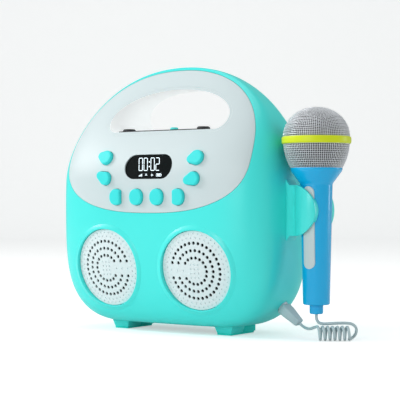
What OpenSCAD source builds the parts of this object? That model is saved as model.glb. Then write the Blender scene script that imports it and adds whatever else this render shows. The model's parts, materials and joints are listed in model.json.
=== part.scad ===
// Portable karaoke machine with a disc compartment, a clipped microphone and a curly lead.
// Millimetres, +Z up, front towards -Y. The body is drawn about its own middle plane,
// and the last lines move everything so that the origin lies under the middle of the whole.

/* [Body] */
// Width of the body
body_w = 216; // [206:1:230]
// Depth of the body
body_d = 103; // [98:1:112]
// Height from the floor to the top of the handle bow
body_h = 226; // [222:1:234]
// Height of the underside above the floor
foot_h = 7; // [5:0.5:10]
// Thickness of the shells
wall = 3.2; // [2.8:0.1:3.8]
// Power of the rounded plan outline, 2 is an ellipse
plan_power = 4.2; // [3.8:0.1:4.6]
// Clearance between pieces that are laid into each other
fit_gap = 0.1; // [0.05:0.05:0.15]

/* [Face panel] */
// Width of the face panel
panel_w = 188; // [180:1:192]
// Thickness of the face panel
panel_t = 1.6; // [1.2:0.1:2]
// Height of the panel's lowest point
panel_low_z = 101.4; // [100:0.2:103]
// Height at which the panel is widest
panel_wide_z = 147; // [144:1:150]
// Teal rim left above the panel at the top of the bow
panel_top_rim = 3; // [2:0.5:4]
// Open shut line around the panel
panel_gap = 0.3; // [0.2:0.05:0.5]

/* [Handle] */
// Width of the handle opening at its widest
handle_w = 122; // [116:1:124]
// Middle of the handle opening beside the body's own middle, towards the microphone
handle_x = 5; // [4:0.5:6]
// How much lower the two side buttons on the microphone's side lie
right_drop = 2; // [1:0.5:3]
// Height of the deck, the flat floor of the handle opening
deck_z = 170; // [168:1:172]
// Height of the handle opening above the deck
handle_h = 36; // [34:1:37]
// Radius of the lower corners of the handle opening
handle_corner = 10; // [8:1:12]
// Thickness of the handle liner and of the deck
liner_t = 2.2; // [1.8:0.1:2.6]

/* [Display] */
// Width of the display window
window_w = 49; // [46:1:52]
// Height of the display window
window_h = 21; // [19:1:22]
// Height of the display's centre
window_z = 140; // [139:0.5:141]
// Thickness of the display window
window_t = 2; // [1.5:0.1:2.5]
// Depth of the window's face below the panel
window_sink = 1.4; // [1:0.1:1.6]

/* [Buttons] */
// Sideways place of the upper side buttons
upper_button_x = 47; // [45:0.5:49]
// Height of the upper side buttons
upper_button_z = 148; // [147:0.5:149]
// Sideways place of the lower side buttons
lower_button_x = 45.5; // [44:0.5:47]
// Height of the lower side buttons
lower_button_z = 131; // [130:0.5:132]
// Length of the side buttons
side_button_l = 15; // [14:0.5:16]
// Radius of the slim end of the side buttons
slim_r = 3.6; // [3.2:0.1:4]
// Distance between the buttons of the bottom row
row_pitch = 21.2; // [20:0.2:22]
// Height of the bottom row of buttons
row_z = 114.5; // [114:0.5:116]
// Width of a bottom row button
row_button_w = 13; // [12:0.5:14]
// Height of a bottom row button
row_button_h = 13.6; // [12:0.2:14]
// How far the buttons stand proud of the panel
button_proud = 3; // [2.5:0.1:3.5]
// Travel of a button
button_travel = 0.8; // [0.6:0.1:1]
// Clearance around a button in the panel
button_gap = 0.35; // [0.3:0.05:0.45]

/* [Speakers] */
// Diameter of a speaker grille
grille_d = 66; // [64:1:67]
// Sideways place of the speakers
speaker_x = 46; // [45:0.5:47]
// Height of the speakers
speaker_z = 54; // [52:1:56]
// Depth of the middle of a grille below the surface
grille_sink = 1; // [0.8:0.1:1.4]
// Height of a grille's crown
grille_crown = 3; // [2.6:0.1:3.2]
// Width of the raised bead around a grille
bead_w = 2.6; // [2:0.1:3]
// Height of the bead
bead_h = 1.3; // [1:0.1:1.6]
// Thickness of a grille
grille_t = 2.4; // [2:0.1:2.8]
// Diameter of the sound holes
sound_hole_d = 2; // [1.6:0.1:2.2]
// Radius of the outermost arc of sound holes
sound_arc_r = 23; // [22:0.5:24]
// Step between the arcs of sound holes
sound_arc_step = 6; // [5.5:0.1:6.4]

/* [Disc drive] */
// Diameter of the disc that the compartment takes
disc_d = 120; // [118:1:122]
// Radial clearance around the disc
disc_clear = 3.5; // [3:0.1:4]
// Height of the disc's centre
disc_z = 90; // [89:0.5:91]
// Depth at which the compartment's floor lies behind the middle plane
well_y = 28; // [27:0.5:29]
// Thickness of the compartment's floor
well_t = 2; // [1.6:0.1:2.4]
// Thickness of the compartment's rim wall
well_rim_t = 2.6; // [2.2:0.1:3]
// Clearance around the disc door
door_gap = 0.4; // [0.3:0.05:0.5]
// Smallest radius that the pickup reads
read_r = 24; // [23:0.5:25]
// Travel of the pickup
read_travel = 32; // [30:1:33]
// Radius of the guide rods
rod_r = 1.5; // [1.2:0.1:1.8]

/* [Controls on the deck] */
// Sideways place of the knobs
knob_x = 39; // [37:0.5:41]
// Share of the body's depth at which the knobs stand in front of the middle plane
knob_share = 0.245; // [0.24:0.005:0.25]
// Diameter of a knob
knob_d = 11; // [10:0.5:12]
// Height of a knob above the deck
knob_h = 3; // [2.5:0.5:4]
// Share of the body's depth at which the door button stands in front of the middle plane
door_button_share = 0.125; // [0.12:0.005:0.14]
// Diameter of the door button
door_button_d = 7; // [6:0.5:8]
// Travel of the door button
door_button_travel = 3; // [2.5:0.1:3]

/* [Microphone] */
// Distance from the side of the body to the microphone's axis
mic_gap = 24; // [23.5:0.1:25]
// Diameter of the microphone's head
head_d = 54; // [52:0.5:54.5]
// Height of the head's band
head_z = 160; // [158:0.5:162]
// Height of the band
band_h = 6; // [5:0.5:7]
// How far the band stands proud of the head
band_proud = 1; // [0.8:0.1:1.4]
// Diameter of the neck where the head sits on the handle
neck_d = 42; // [40:0.5:44]
// Height of the neck
neck_z = 138; // [137:0.5:139]
// Diameter of the handle at its top
grip_top_d = 26; // [25:0.5:27]
// Height where the handle's taper ends and the neck begins
grip_top_z = 125; // [124.5:0.5:126]
// Diameter of the handle at its lower end
grip_low_d = 21.6; // [20:0.2:23]
// Height of the handle's lower end
grip_low_z = 28; // [27:0.5:30]
// Wall of the handle
grip_wall = 2; // [1.6:0.1:2.4]
// Diameter of the end nub
nub_d = 11; // [10:0.5:12]
// Height of the nub's lower face
nub_z = 20.5; // [20:0.5:21]
// Width of the strip on the handle
strip_w = 10; // [9:0.5:11]
// Lower end of the strip
strip_low_z = 57; // [55:1:60]
// Length of the strip
strip_l = 66; // [64:1:67]
// How far the strip stands proud of the handle
strip_t = 0.9; // [0.7:0.1:1.1]

/* [Microphone holder] */
// Height of the holder's centre
holder_z = 103.5; // [102:0.5:104]
// Height of the holder's lobes
holder_h = 41; // [38:1:41]
// Thickness of the holder around the handle
holder_t = 3.6; // [3:0.1:4]
// Clearance between holder and handle
holder_gap = 0.35; // [0.3:0.05:0.4]
// Distance of the round lobes' middle from the microphone's axis, towards the body
lobe_back = 12.7; // [11:0.1:14]
// Half the width of the holder's arm
arm_half_w = 7; // [6:0.5:8]

/* [Lead] */
// Diameter of the lead
cord_d = 2.4; // [2.2:0.1:2.4]
// Outer diameter of the curls
coil_od = 12.2; // [12:0.1:12.4]
// Number of half curls
coil_halves = 13; // [11:2:15]
// Length of the coiled stretch
coil_l = 25.4; // [25:0.2:26]

/* [Hidden] */

// Height where the body is deepest, and where it starts to narrow
belly_z = 130;
side_z = 100;
// Rings and steps of the body's surface
body_levels = 20;
body_steps = 36;
// Height where the hollow in the shells ends below the top of the bow
hollow_top = body_h - 14;
mic_x = body_w / 2 + mic_gap;
band_d = head_d + 2 * band_proud;
knob_y = body_d * knob_share;
door_button_y = body_d * door_button_share;
shift_x = -(mic_gap + band_d / 2) / 2;
shift_y = button_proud / 2;
far = 80;

teal = [0.30, 0.88, 0.86];
shell_white = [0.90, 0.93, 0.94];
mic_blue = [0.0, 0.62, 0.86];
band_lime = [0.86, 0.90, 0.24];
steel = [0.75, 0.76, 0.78];
dark = [0.10, 0.11, 0.12];
cord_grey = [0.74, 0.84, 0.85];

// Signed power, for rounded outlines
function spow(v, p) = sign(v) * pow(abs(v), p);
function unit(v) = v / norm(v);
function round_share(t, p, q) = pow(max(0, 1 - pow(min(1, abs(t)), p)), 1 / q);

// Half depth of the body on its middle plane at a height
function half_d(z) = z >= belly_z
  ? let(t = min(1, (z - belly_z) / (body_h - belly_z)))
    body_d / 2 * (0.84 * pow(1 - pow(t, 1.7), 1.7) + 0.16 * sqrt(max(0, 1 - pow(t, 4))))
  : body_d / 2 * (0.4 + 0.6 * round_share((belly_z - z) / (belly_z - foot_h), 3.2, 2.4));
// Half width of the body at a height
function half_w(z) = z >= side_z
  ? body_w / 2 * round_share((z - side_z) / (body_h - side_z), 3, 2.1)
  : body_w / 2 * (0.55 + 0.45 * round_share((side_z - z) / (side_z - foot_h), 4, 2));
// Distance of the body's surface from the middle plane at a place
function surf(x, z) = half_d(z) * round_share(x / half_w(z), plan_power, plan_power);
// Outward direction of the front surface around a place, taken across a reach of r to each side
function front_normal(x, z, r = 0.5) = unit([
  -(surf(x + r, z) - surf(x - r, z)), -2 * r, -(surf(x, z + r) - surf(x, z - r))]);

// Moves its children to the front surface, with their Z axis pointing out of it
module on_front(x, z, r = 0.5) {
  n = front_normal(x, z, r);
  ex = unit(cross([0, 0, 1], n));
  ey = cross(n, ex);
  multmatrix([[ex.x, ey.x, n.x, x], [ex.y, ey.y, n.y, -surf(x, z)], [ex.z, ey.z, n.z, z], [0, 0, 0, 1]])
    children();
}
// A speaker's frame: the mean direction of the surface across its grille
module at_speaker(s) {
  on_front(s * speaker_x, speaker_z, grille_d * 0.45) children();
}
// Turns its children's Z axis to a direction
module along(d) {
  rotate([0, acos(unit(d).z), atan2(d.y, d.x)]) children();
}
// Lays a drawing made in X and Z flat against the middle plane, from y0 to y1
module upright(y0, y1) {
  translate([0, y1, 0]) rotate([90, 0, 0]) linear_extrude(y1 - y0) children();
}
// A cylinder along Y between two depths
module y_rod(x, z, y0, y1, r) {
  translate([x, y0, z]) rotate([-90, 0, 0]) cylinder(h = y1 - y0, r = r, $fn = 48);
}
module block(x0, x1, y0, y1, z0, z1) {
  translate([x0, y0, z0]) cube([x1 - x0, y1 - y0, z1 - z0]);
}
module mirrored() {
  children();
  mirror([1, 0, 0]) children();
}

// The body's form, smaller all round by inset, up to a top height.
// first and last are the angles it spans seen from above: 180 to 360 is the front half.
module pebble(inset, top, first, last) {
  whole = last - first == 360;
  steps = whole ? body_steps : body_steps / 2;
  n = whole ? steps : steps + 1;
  z0 = foot_h + inset;
  ring_z = [for (i = [0:body_levels]) z0 + (top - z0) * (1 - cos(180 * i / body_levels)) / 2];
  points = [for (z = ring_z) for (k = [0:n - 1])
    let(a = first + (last - first) * k / steps,
      w = max(1.5, half_w(z) - inset),
      d = max(0.8, half_d(z) - inset),
      open = !whole && inset > 0 && (k == 0 || k == steps) ? (first < 180 ? -1 : 1) : 0)
    [w * spow(cos(a), 2 / plan_power), d * spow(sin(a), 2 / plan_power) + open, z]];
  sides = [for (i = [0:body_levels - 1]) for (k = [0:n - 1]) for (half = [0, 1])
    let(k2 = (k + 1) % n, low = i * n, high = (i + 1) * n)
    half == 0 ? [low + k, high + k, low + k2] : [low + k2, high + k, high + k2]];
  floor_face = [for (k = [0:n - 1]) k];
  top_face = [for (k = [n - 1:-1:0]) body_levels * n + k];
  polyhedron(points, concat(sides, [floor_face, top_face]));
}
module front_half(inset, top) {
  pebble(inset, top, 180, 360);
}
module rear_half(inset, top) {
  pebble(inset, top, 0, 180);
}

// Outline of the face panel, grown by g
module panel_outline(g) {
  hw = panel_w / 2 + g;
  up = body_h - panel_top_rim - panel_wide_z + g;
  down = panel_wide_z - panel_low_z + g;
  polygon([for (i = [0:63]) let(a = i * 360 / 64, up_side = sin(a) >= 0, p = up_side ? 2.2 : 2.5)
    [hw * spow(cos(a), 2 / p), panel_wide_z + (up_side ? up : down) * spow(sin(a), 2 / p)]]);
}
// Outline of the handle opening, grown by g
module handle_outline(g) {
  hw = handle_w / 2 + g;
  wide_z = deck_z + handle_corner;
  top = handle_h - handle_corner + g;
  low = handle_corner + g;
  flat = handle_w / 2 - handle_corner;
  translate([handle_x, 0]) polygon(concat(
    [for (i = [0:30]) [hw * cos(i * 6), wide_z + top * sin(i * 6)]],
    [for (i = [1:9]) [-flat - (handle_corner + g) * cos(i * 10), wide_z - low * sin(i * 10)]],
    [for (i = [9:-1:1]) [flat + (handle_corner + g) * cos(i * 10), wide_z - low * sin(i * 10)]]));
}

// A pill lying along X
module pill(w, h) {
  square([w - h, h], center = true);
  for (s = [-1, 1]) translate([s * (w - h) / 2, 0]) circle(d = h, $fn = 48);
}

// Outline of a side button, grown by g: a pebble with its blunt end on the right
module side_button_outline(b, g) {
  blunt_r = b[3];
  rotate(b[2]) hull() {
    translate([side_button_l / 2 - blunt_r, 0]) circle(r = blunt_r + g, $fn = 40);
    translate([slim_r - side_button_l / 2, 0]) circle(r = slim_r + g, $fn = 40);
  }
}
// flat_side is -1, 0 or 1: the side on which the round button is cut straight
module row_button_outline(flat_side, g) {
  intersection() {
    scale_h = row_button_h / row_button_w;
    polygon([for (i = [0:47]) let(a = i * 7.5)
      [(row_button_w / 2 + g) * spow(cos(a), 0.9),
        (row_button_w / 2 * scale_h + g) * spow(sin(a), 0.9)]]);
    if (flat_side == 0) square(far, center = true);
    else translate([-flat_side * (far / 2 - row_button_w * 0.36 - g), 0]) square(far, center = true);
  }
}
// Side buttons: sideways place, height, turn and radius of the blunt end
SIDE_BUTTONS = [
  [-upper_button_x, upper_button_z, -16, 6.2], [-lower_button_x, lower_button_z, -25, 5.7],
  [upper_button_x, upper_button_z - right_drop, 16, 6.2],
  [lower_button_x, lower_button_z - right_drop, 14, 5.7]];
ROW_FLATS = [1, 0, 0, -1];
function row_x(i) = (i - 1.5) * row_pitch;

module all_button_cuts(g) {
  for (b = SIDE_BUTTONS) on_front(b.x, b.y) translate([0, 0, -12])
    linear_extrude(24) side_button_outline(b, g);
  for (i = [0:3]) on_front(row_x(i), row_z) translate([0, 0, -12])
    linear_extrude(24) row_button_outline(ROW_FLATS[i], g);
}
module window_cut(g) {
  on_front(0, window_z) translate([0, 0, -12]) linear_extrude(24) pill(window_w + 2 * g, window_h + 2 * g);
}

// Case screws: sideways place and height of each boss
SCREWS = [[92, 105], [78, 165], [72, 22], [-92, 105], [-78, 165], [-72, 22]];
screw_d = 3;
screw_head_d = 5.6;
screw_head_y = 14;
boss_r = 4.2;

door_r = disc_d / 2 + disc_clear + well_rim_t - 0.1;
skirt_t = 2.2;
grille_r = grille_d / 2;
grille_low = -(grille_sink + grille_crown + grille_t);
seat_z = grille_low - 0.05;
lip_t = 1.8;
lip_w = 3;
frame_top = seat_z - lip_t - 0.05;
frame_r = grille_r + 2;

// Where the lead's plug goes into the body's side
jack_z = 24;
jack_y = 8;
jack_dir = unit([0.78, 0, -0.62]);
jack_at = [half_w(jack_z) * round_share(jack_y / half_d(jack_z), plan_power, plan_power), jack_y, jack_z];
jack_r = 5;
jack_l = 14;
plug_pin_r = 1.75;
plug_l = 19.5;
jack_proud = 1;
charge_x = -78;
charge_z = 60;
charge_r = 5.5;
charge_bore_r = 2.9;

// The notch that the door's release arm reaches through
arm_w = 6;
arm_z = deck_z - liner_t - 7.6;
arm_t = 3;
arm_end_y = well_y + 8;
nose_low_z = disc_z + door_r + 0.6;
module arm_notch() {
  block(-arm_w / 2 - 1, arm_w / 2 + 1, well_y - 1, arm_end_y + 1.5,
    nose_low_z - door_button_travel - 0.8, arm_z + arm_t);
}

board_y = -body_d * 0.33;
board_t = 1.6;

module front_shell() {
  color(teal) difference() {
    union() {
      difference() {
        front_half(0, body_h);
        front_half(wall, hollow_top);
      }
      intersection() {
        front_half(wall - 1, hollow_top);
        union() {
          for (s = [-1, 1]) at_speaker(s) translate([0, 0, seat_z - lip_t])
            cylinder(r = grille_r + lip_w + 0.5, h = 12, $fn = 96);
          for (s = SCREWS) y_rod(s.x, s.y, -far, -fit_gap, boss_r);
          for (s = [-1, 1]) y_rod(s * 60, 150, -far, board_y, 3);
          for (s = [-1, 1]) y_rod(s * 52, 108, -far, board_y, 3);
        }
      }
      intersection() {
        front_half(-bead_h, body_h);
        for (s = [-1, 1]) at_speaker(s) translate([0, 0, -5])
          cylinder(r = grille_r + panel_gap + bead_w, h = 20, $fn = 96);
      }
    }
    difference() {
      upright(-far, 1) panel_outline(panel_gap);
      front_half(panel_t + 0.05, body_h - panel_top_rim - 1.5);
    }
    for (s = [-1, 1]) at_speaker(s) {
      translate([0, 0, seat_z]) cylinder(r = grille_r + panel_gap, h = 20, $fn = 96);
      translate([0, 0, -30]) cylinder(r = grille_r - lip_w, h = 60, $fn = 96);
      translate([0, 0, frame_top - 20]) cylinder(r = frame_r + 0.3, h = 20.03, $fn = 96);
    }
    upright(-far, 1) handle_outline(liner_t + fit_gap);
    all_button_cuts(button_gap);
    window_cut(fit_gap);
    for (s = SCREWS) y_rod(s.x, s.y, -12, 1, screw_d / 2 + 0.02);
  }
}

module rear_shell() {
  color(teal) difference() {
    union() {
      difference() {
        rear_half(0, body_h);
        rear_half(wall, hollow_top);
      }
      intersection() {
        rear_half(wall - 1, hollow_top);
        union() {
          y_rod(0, disc_z, well_y, far, door_r + door_gap + skirt_t);
          for (s = SCREWS) y_rod(s.x, s.y, fit_gap, far, boss_r);
        }
      }
    }
    y_rod(0, disc_z, -1, far, door_r + door_gap);
    upright(-1, far) handle_outline(liner_t + fit_gap);
    for (s = SCREWS) {
      y_rod(s.x, s.y, -1, far, screw_d / 2 + 0.1);
      y_rod(s.x, s.y, screw_head_y, far, screw_head_d / 2 + 0.4);
    }
    arm_notch();
    translate(jack_at) along(jack_dir) translate([0, 0, -20])
      cylinder(r = jack_r + fit_gap, h = 40, $fn = 48);
    y_rod(charge_x, charge_z, 0, far, charge_r + fit_gap);
  }
}

module face_panel() {
  color(shell_white) difference() {
    intersection() {
      front_half(0, body_h);
      upright(-far, 1) panel_outline(0);
    }
    front_half(panel_t, body_h - panel_top_rim - 1);
    upright(-far, 1) handle_outline(liner_t + fit_gap);
    all_button_cuts(button_gap);
    window_cut(fit_gap);
  }
}

bracket_z = deck_z - liner_t - 20;
module handle_liner() {
  color(shell_white) difference() {
    union() {
      intersection() {
        pebble(0, body_h, 0, 360);
        upright(-far, far) difference() {
          handle_outline(liner_t);
          handle_outline(0);
        }
      }
      for (s = [-1, 1]) block(s * 8 - 0.8, s * 8 + 0.8, -door_button_y - 5, -door_button_y + 5,
        bracket_z - 2, deck_z - liner_t + 0.5);
      block(-8.8, 8.8, -door_button_y - 5, -door_button_y + 5, bracket_z - 2, bracket_z);
    }
    for (s = [-1, 1]) translate([s * knob_x, -knob_y, deck_z - liner_t - 1])
      cylinder(r = 3.3, h = liner_t + 2, $fn = 32);
    translate([0, -door_button_y, deck_z - liner_t - 1])
      cylinder(d = door_button_d + 0.6, h = liner_t + 2, $fn = 32);
  }
}

module display_window() {
  color(dark) on_front(0, window_z) translate([0, 0, -window_sink - window_t])
    linear_extrude(window_t) pill(window_w, window_h);
}
module display_module() {
  lcd_w = window_w - window_h + 6;
  lcd_h = window_h - 1.4;
  lcd_t = 5;
  color([0.16, 0.2, 0.2]) {
    on_front(0, window_z) translate([-lcd_w / 2, -lcd_h / 2, -window_sink - window_t - 0.05 - lcd_t])
      cube([lcd_w, lcd_h, lcd_t]);
    for (s = [-1, 1]) block(s * 13 - 4, s * 13 + 4, -surf(0, window_z) + 5.2, board_y,
      window_z - 7, window_z + 3);
  }
}

// A grille disc: crowned, with arcs of sound holes that open towards one side
module grille_disc(open_side) {
  low = grille_low;
  rim = low + grille_t;
  bands = 6;
  difference() {
    rotate_extrude($fn = 96) polygon(concat(
      [[0, low], [grille_r, low], [grille_r, rim - 0.6], [grille_r - 0.6, rim]],
      [for (i = [1:bands]) let(r = (grille_r - 0.6) * (1 - i / bands))
        [r, rim + grille_crown * (1 - pow(r / grille_r, 2))]]));
    for (ring = [0:2]) {
      r = sound_arc_r - ring * sound_arc_step;
      holes = floor(360 * r / (grille_r * 7.8));
      gap = asin(min(0.9, 6.4 / r));
      for (i = [0:holes - 1]) rotate((open_side > 0 ? 0 : 180) + gap + (360 - 2 * gap) * i / (holes - 1))
        translate([r, 0, low - 1]) cylinder(d = sound_hole_d, h = grille_t + grille_crown + 2, $fn = 12);
    }
  }
}
module left_grille() {
  color(shell_white) at_speaker(-1) grille_disc(1);
}
module right_grille() {
  color(shell_white) at_speaker(1) grille_disc(-1);
}

module speaker_frame() {
  color(dark) rotate_extrude($fn = 72) polygon([
    [27, frame_top], [frame_r, frame_top], [frame_r, frame_top - 2], [30, frame_top - 2],
    [15, frame_top - 15], [17, frame_top - 15], [17, frame_top - 23], [0, frame_top - 23],
    [0, frame_top - 13.5], [12.5, frame_top - 13.5], [27, frame_top - 2.5]]);
}
module left_speaker_frame() {
  at_speaker(-1) speaker_frame();
}
module right_speaker_frame() {
  at_speaker(1) speaker_frame();
}
module speaker_cones() {
  color([0.2, 0.2, 0.21]) for (s = [-1, 1]) at_speaker(s)
    rotate_extrude($fn = 72) polygon([
      [26.6, frame_top], [25, frame_top], [8, frame_top - 9], [5, frame_top - 7.5], [0, frame_top - 7],
      [0, frame_top - 13.4], [8, frame_top - 13.4], [8, frame_top - 10.5], [24.5, frame_top - 1.6],
      [26.6, frame_top - 1.6]]);
}

// How far below the surface a button's stem meets the top of its switch
switch_h = 3.6;
function stem_end(x, z) = (board_y - switch_h - (-surf(x, z))) / abs(front_normal(x, z).y);
function switch_at(x, z) = [x, -surf(x, z), z] - front_normal(x, z) * stem_end(x, z);
BUTTON_PLACES = concat([for (b = SIDE_BUTTONS) [b.x, b.y]], [for (i = [0:3]) [row_x(i), row_z]]);

module button_board() {
  color([0.1, 0.42, 0.24]) difference() {
    block(-64, 64, board_y, board_y + board_t, 103, 156);
    for (s = [-1, 1]) y_rod(s * 60, 150, board_y - 1, board_y + 3, 1.2);
    for (s = [-1, 1]) y_rod(s * 52, 108, board_y - 1, board_y + 3, 1.2);
  }
  color(dark) for (p = BUTTON_PLACES) let(q = switch_at(p.x, p.y))
    block(q.x - 3, q.x + 3, board_y - switch_h, board_y, q.z - 3, q.z + 3);
}

flange_t = 1.2;
stem_r = 2;
// How much lower one edge of a slanted stem's end lies than its middle
function stem_tilt(x, z) = let(n = front_normal(x, z)) stem_r * norm([n.x, n.z]) / abs(n.y);
// A cap with a chamfered top, a flange behind the wall and a stem down to its switch
module button_solid(x, z) {
  flange = -wall - 1.6;
  end = -stem_end(x, z) + button_travel + stem_tilt(x, z) + 0.2;
  base = flange - flange_t / 2;
  chamfer = 0.8;
  on_front(x, z) {
    hull() {
      translate([0, 0, base]) linear_extrude(button_proud - chamfer - base) children(0);
      translate([0, 0, base + 1]) linear_extrude(button_proud - base - 1) children(2);
    }
    translate([0, 0, flange - flange_t]) linear_extrude(flange_t) children(1);
    translate([0, 0, end]) cylinder(r = stem_r, h = -end, $fn = 32);
  }
}
module side_button(i) {
  b = SIDE_BUTTONS[i];
  color(teal) button_solid(b.x, b.y) {
    side_button_outline(b, 0);
    side_button_outline(b, 1.2);
    side_button_outline(b, -0.8);
  }
}
module row_button(i) {
  color(teal) button_solid(row_x(i), row_z) {
    row_button_outline(ROW_FLATS[i], 0);
    row_button_outline(ROW_FLATS[i], 1.2);
    row_button_outline(ROW_FLATS[i], -0.8);
  }
}

main_board_y = 0;
module main_board() {
  color([0.1, 0.42, 0.24]) difference() {
    block(-57, 57, main_board_y, main_board_y + board_t, 98, 142);
    for (s = [-1, 1]) y_rod(s * 50, 103, main_board_y - 1, main_board_y + 3, 1.2);
    for (s = [-1, 1]) y_rod(s * 45, 130, main_board_y - 1, main_board_y + 3, 1.2);
  }
  color(dark) {
    block(-12, 8, main_board_y - 2.2, main_board_y, 112, 130);
    block(20, 36, main_board_y - 2, main_board_y, 108, 118);
    y_rod(-36, 118, main_board_y - 11, main_board_y, 5);
    y_rod(-24, 134, main_board_y - 8, main_board_y, 4);
    y_rod(42, 134, main_board_y - 8, main_board_y, 4);
  }
}

well_r = disc_d / 2 + disc_clear;
slot_top_z = disc_z - read_r + 8;
slot_low_z = disc_z - read_r - read_travel - 7;
module disc_well() {
  color([0.16, 0.17, 0.18]) difference() {
    union() {
      y_rod(0, disc_z, well_y, well_y + well_t + 7, door_r);
      for (s = [-1, 1]) y_rod(s * 50, 103, main_board_y + board_t, well_y + 1, 3);
      for (s = [-1, 1]) y_rod(s * 45, 130, main_board_y + board_t, well_y + 1, 3);
      for (z = [chassis_low_z + 14, chassis_top_z - 4]) for (x = [-26, 31])
        y_rod(x, z, chassis_y + chassis_t, well_y + 1, 3);
    }
    y_rod(0, disc_z, well_y + well_t, far, well_r);
    block(-7.5, 7.5, well_y - 1, well_y + well_t + 1, slot_low_z, slot_top_z);
    y_rod(0, disc_z, well_y - 1, far, 4);
    arm_notch();
  }
}

chassis_y = well_y - 6;
chassis_t = 2;
chassis_low_z = slot_low_z - 4.5;
chassis_top_z = disc_z + 20;
rod_x = 17;
rod_y = chassis_y - 3;
screw_x = 23.5;
bearing_w = 3.5;
bearing_top_z = slot_top_z + 2;
module mech_chassis() {
  color([0.35, 0.37, 0.4]) difference() {
    union() {
      block(-30, 34, chassis_y, chassis_y + chassis_t, chassis_low_z, chassis_top_z);
      for (z = [chassis_low_z, bearing_top_z]) {
        block(-rod_x - 3, -rod_x + 3, rod_y - 3, chassis_y + 0.5, z, z + bearing_w);
        block(rod_x - 3, screw_x + 3.5, rod_y - 3, chassis_y + 0.5, z, z + bearing_w);
      }
    }
    block(-22, 28, chassis_y - 1, chassis_y + 3, chassis_low_z + bearing_w, bearing_top_z);
    y_rod(0, disc_z, chassis_y - 1, chassis_y + 3, 3);
    for (s = [-1, 1]) translate([s * rod_x, rod_y, 0]) cylinder(r = rod_r, h = 200, $fn = 32);
    translate([screw_x, rod_y, 0]) cylinder(r = feed_r + 0.05, h = 200, $fn = 32);
  }
}
module guide_rods() {
  color(steel) for (s = [-1, 1]) translate([s * rod_x, rod_y, chassis_low_z])
    cylinder(r = rod_r, h = bearing_top_z + bearing_w - chassis_low_z, $fn = 32);
}
feed_r = 1.8;
feed_motor_z = bearing_top_z + bearing_w + 0.3;
module feed_motor() {
  color(steel) difference() {
    translate([screw_x, rod_y - 3.2, feed_motor_z]) cylinder(r = 6, h = 16, $fn = 48);
    translate([screw_x, rod_y, feed_motor_z - 1]) cylinder(r = feed_r + 0.05, h = 5, $fn = 32);
  }
}
module feed_screw() {
  color(steel) translate([screw_x, rod_y, chassis_low_z]) {
    cylinder(r = feed_r, h = feed_motor_z + 3.5 - chassis_low_z, $fn = 32);
  }
}
motor_r = 12;
module spindle_motor() {
  color(steel) difference() {
    y_rod(0, disc_z, chassis_y - 11, chassis_y, motor_r);
    y_rod(0, disc_z, chassis_y - 9, chassis_y + 1, 1.05);
  }
}
module turntable() {
  color(dark) {
    y_rod(0, disc_z, chassis_y - 8, well_y + well_t + 3, 1);
    y_rod(0, disc_z, well_y + well_t + 0.5, well_y + well_t + 2, 14);
    translate([0, well_y + well_t + 2, disc_z]) rotate([-90, 0, 0])
      cylinder(r1 = 7.4, r2 = 6.6, h = 3.4, $fn = 48);
  }
}
sled_z = disc_z - read_r;
nut_gap = 0.06;
module pickup_sled() {
  color([0.25, 0.26, 0.28]) difference() {
    union() {
      block(-20, 20, rod_y - 3.5, chassis_y + 2.8, sled_z - 8, sled_z + 7);
      block(19, 27, rod_y - 3.5, chassis_y - 0.3, sled_z - 4, sled_z + 4);
      y_rod(0, sled_z, chassis_y + 2, well_y + 0.8, 6.2);
    }
    for (s = [-1, 1]) translate([s * rod_x, rod_y, 0]) cylinder(r = rod_r + nut_gap, h = 200, $fn = 32);
    translate([screw_x, rod_y, 0]) cylinder(r = feed_r + nut_gap, h = 200, $fn = 32);
  }
}
module pickup_lens() {
  color([0.4, 0.3, 0.65]) difference() {
    y_rod(0, sled_z, well_y + 0.8, well_y + 2.2, 3.4);
    translate([0, well_y + 14.2, sled_z]) sphere(r = 12.4, $fn = 64);
  }
}

// The disc door follows the rear surface: rings of points around its centre, outside and inside
door_rings = 6;
door_steps = 48;
function door_point(r, a, inset) = let(x = r * cos(a), z = disc_z + r * sin(a)) [x, surf(x, z) - inset, z];
module disc_door() {
  radii = [for (i = [1:door_rings]) door_r * i / door_rings];
  layer = door_rings * door_steps + 1;
  function sheet(inset) = concat([door_point(0, 0, inset)],
    [for (r = radii) for (k = [0:door_steps - 1]) door_point(r, k * 360 / door_steps, inset)]);
  points = concat(sheet(0), sheet(wall));
  function at(i, k) = 1 + (i - 1) * door_steps + k % door_steps;
  fan = [for (k = [0:door_steps - 1]) [0, at(1, k + 1), at(1, k)]];
  bands = [for (i = [1:door_rings - 1]) for (k = [0:door_steps - 1]) for (half = [0, 1])
    half == 0 ? [at(i, k), at(i, k + 1), at(i + 1, k)] : [at(i, k + 1), at(i + 1, k + 1), at(i + 1, k)]];
  outer = concat(fan, bands);
  inner = [for (f = outer) [f[2] + layer, f[1] + layer, f[0] + layer]];
  rim = [for (k = [0:door_steps - 1]) for (half = [0, 1])
    let(a = at(door_rings, k), b = at(door_rings, k + 1))
    half == 0 ? [a, b, b + layer] : [a, b + layer, a + layer]];
  color(teal) polyhedron(points, concat(outer, inner, rim));
}

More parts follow.
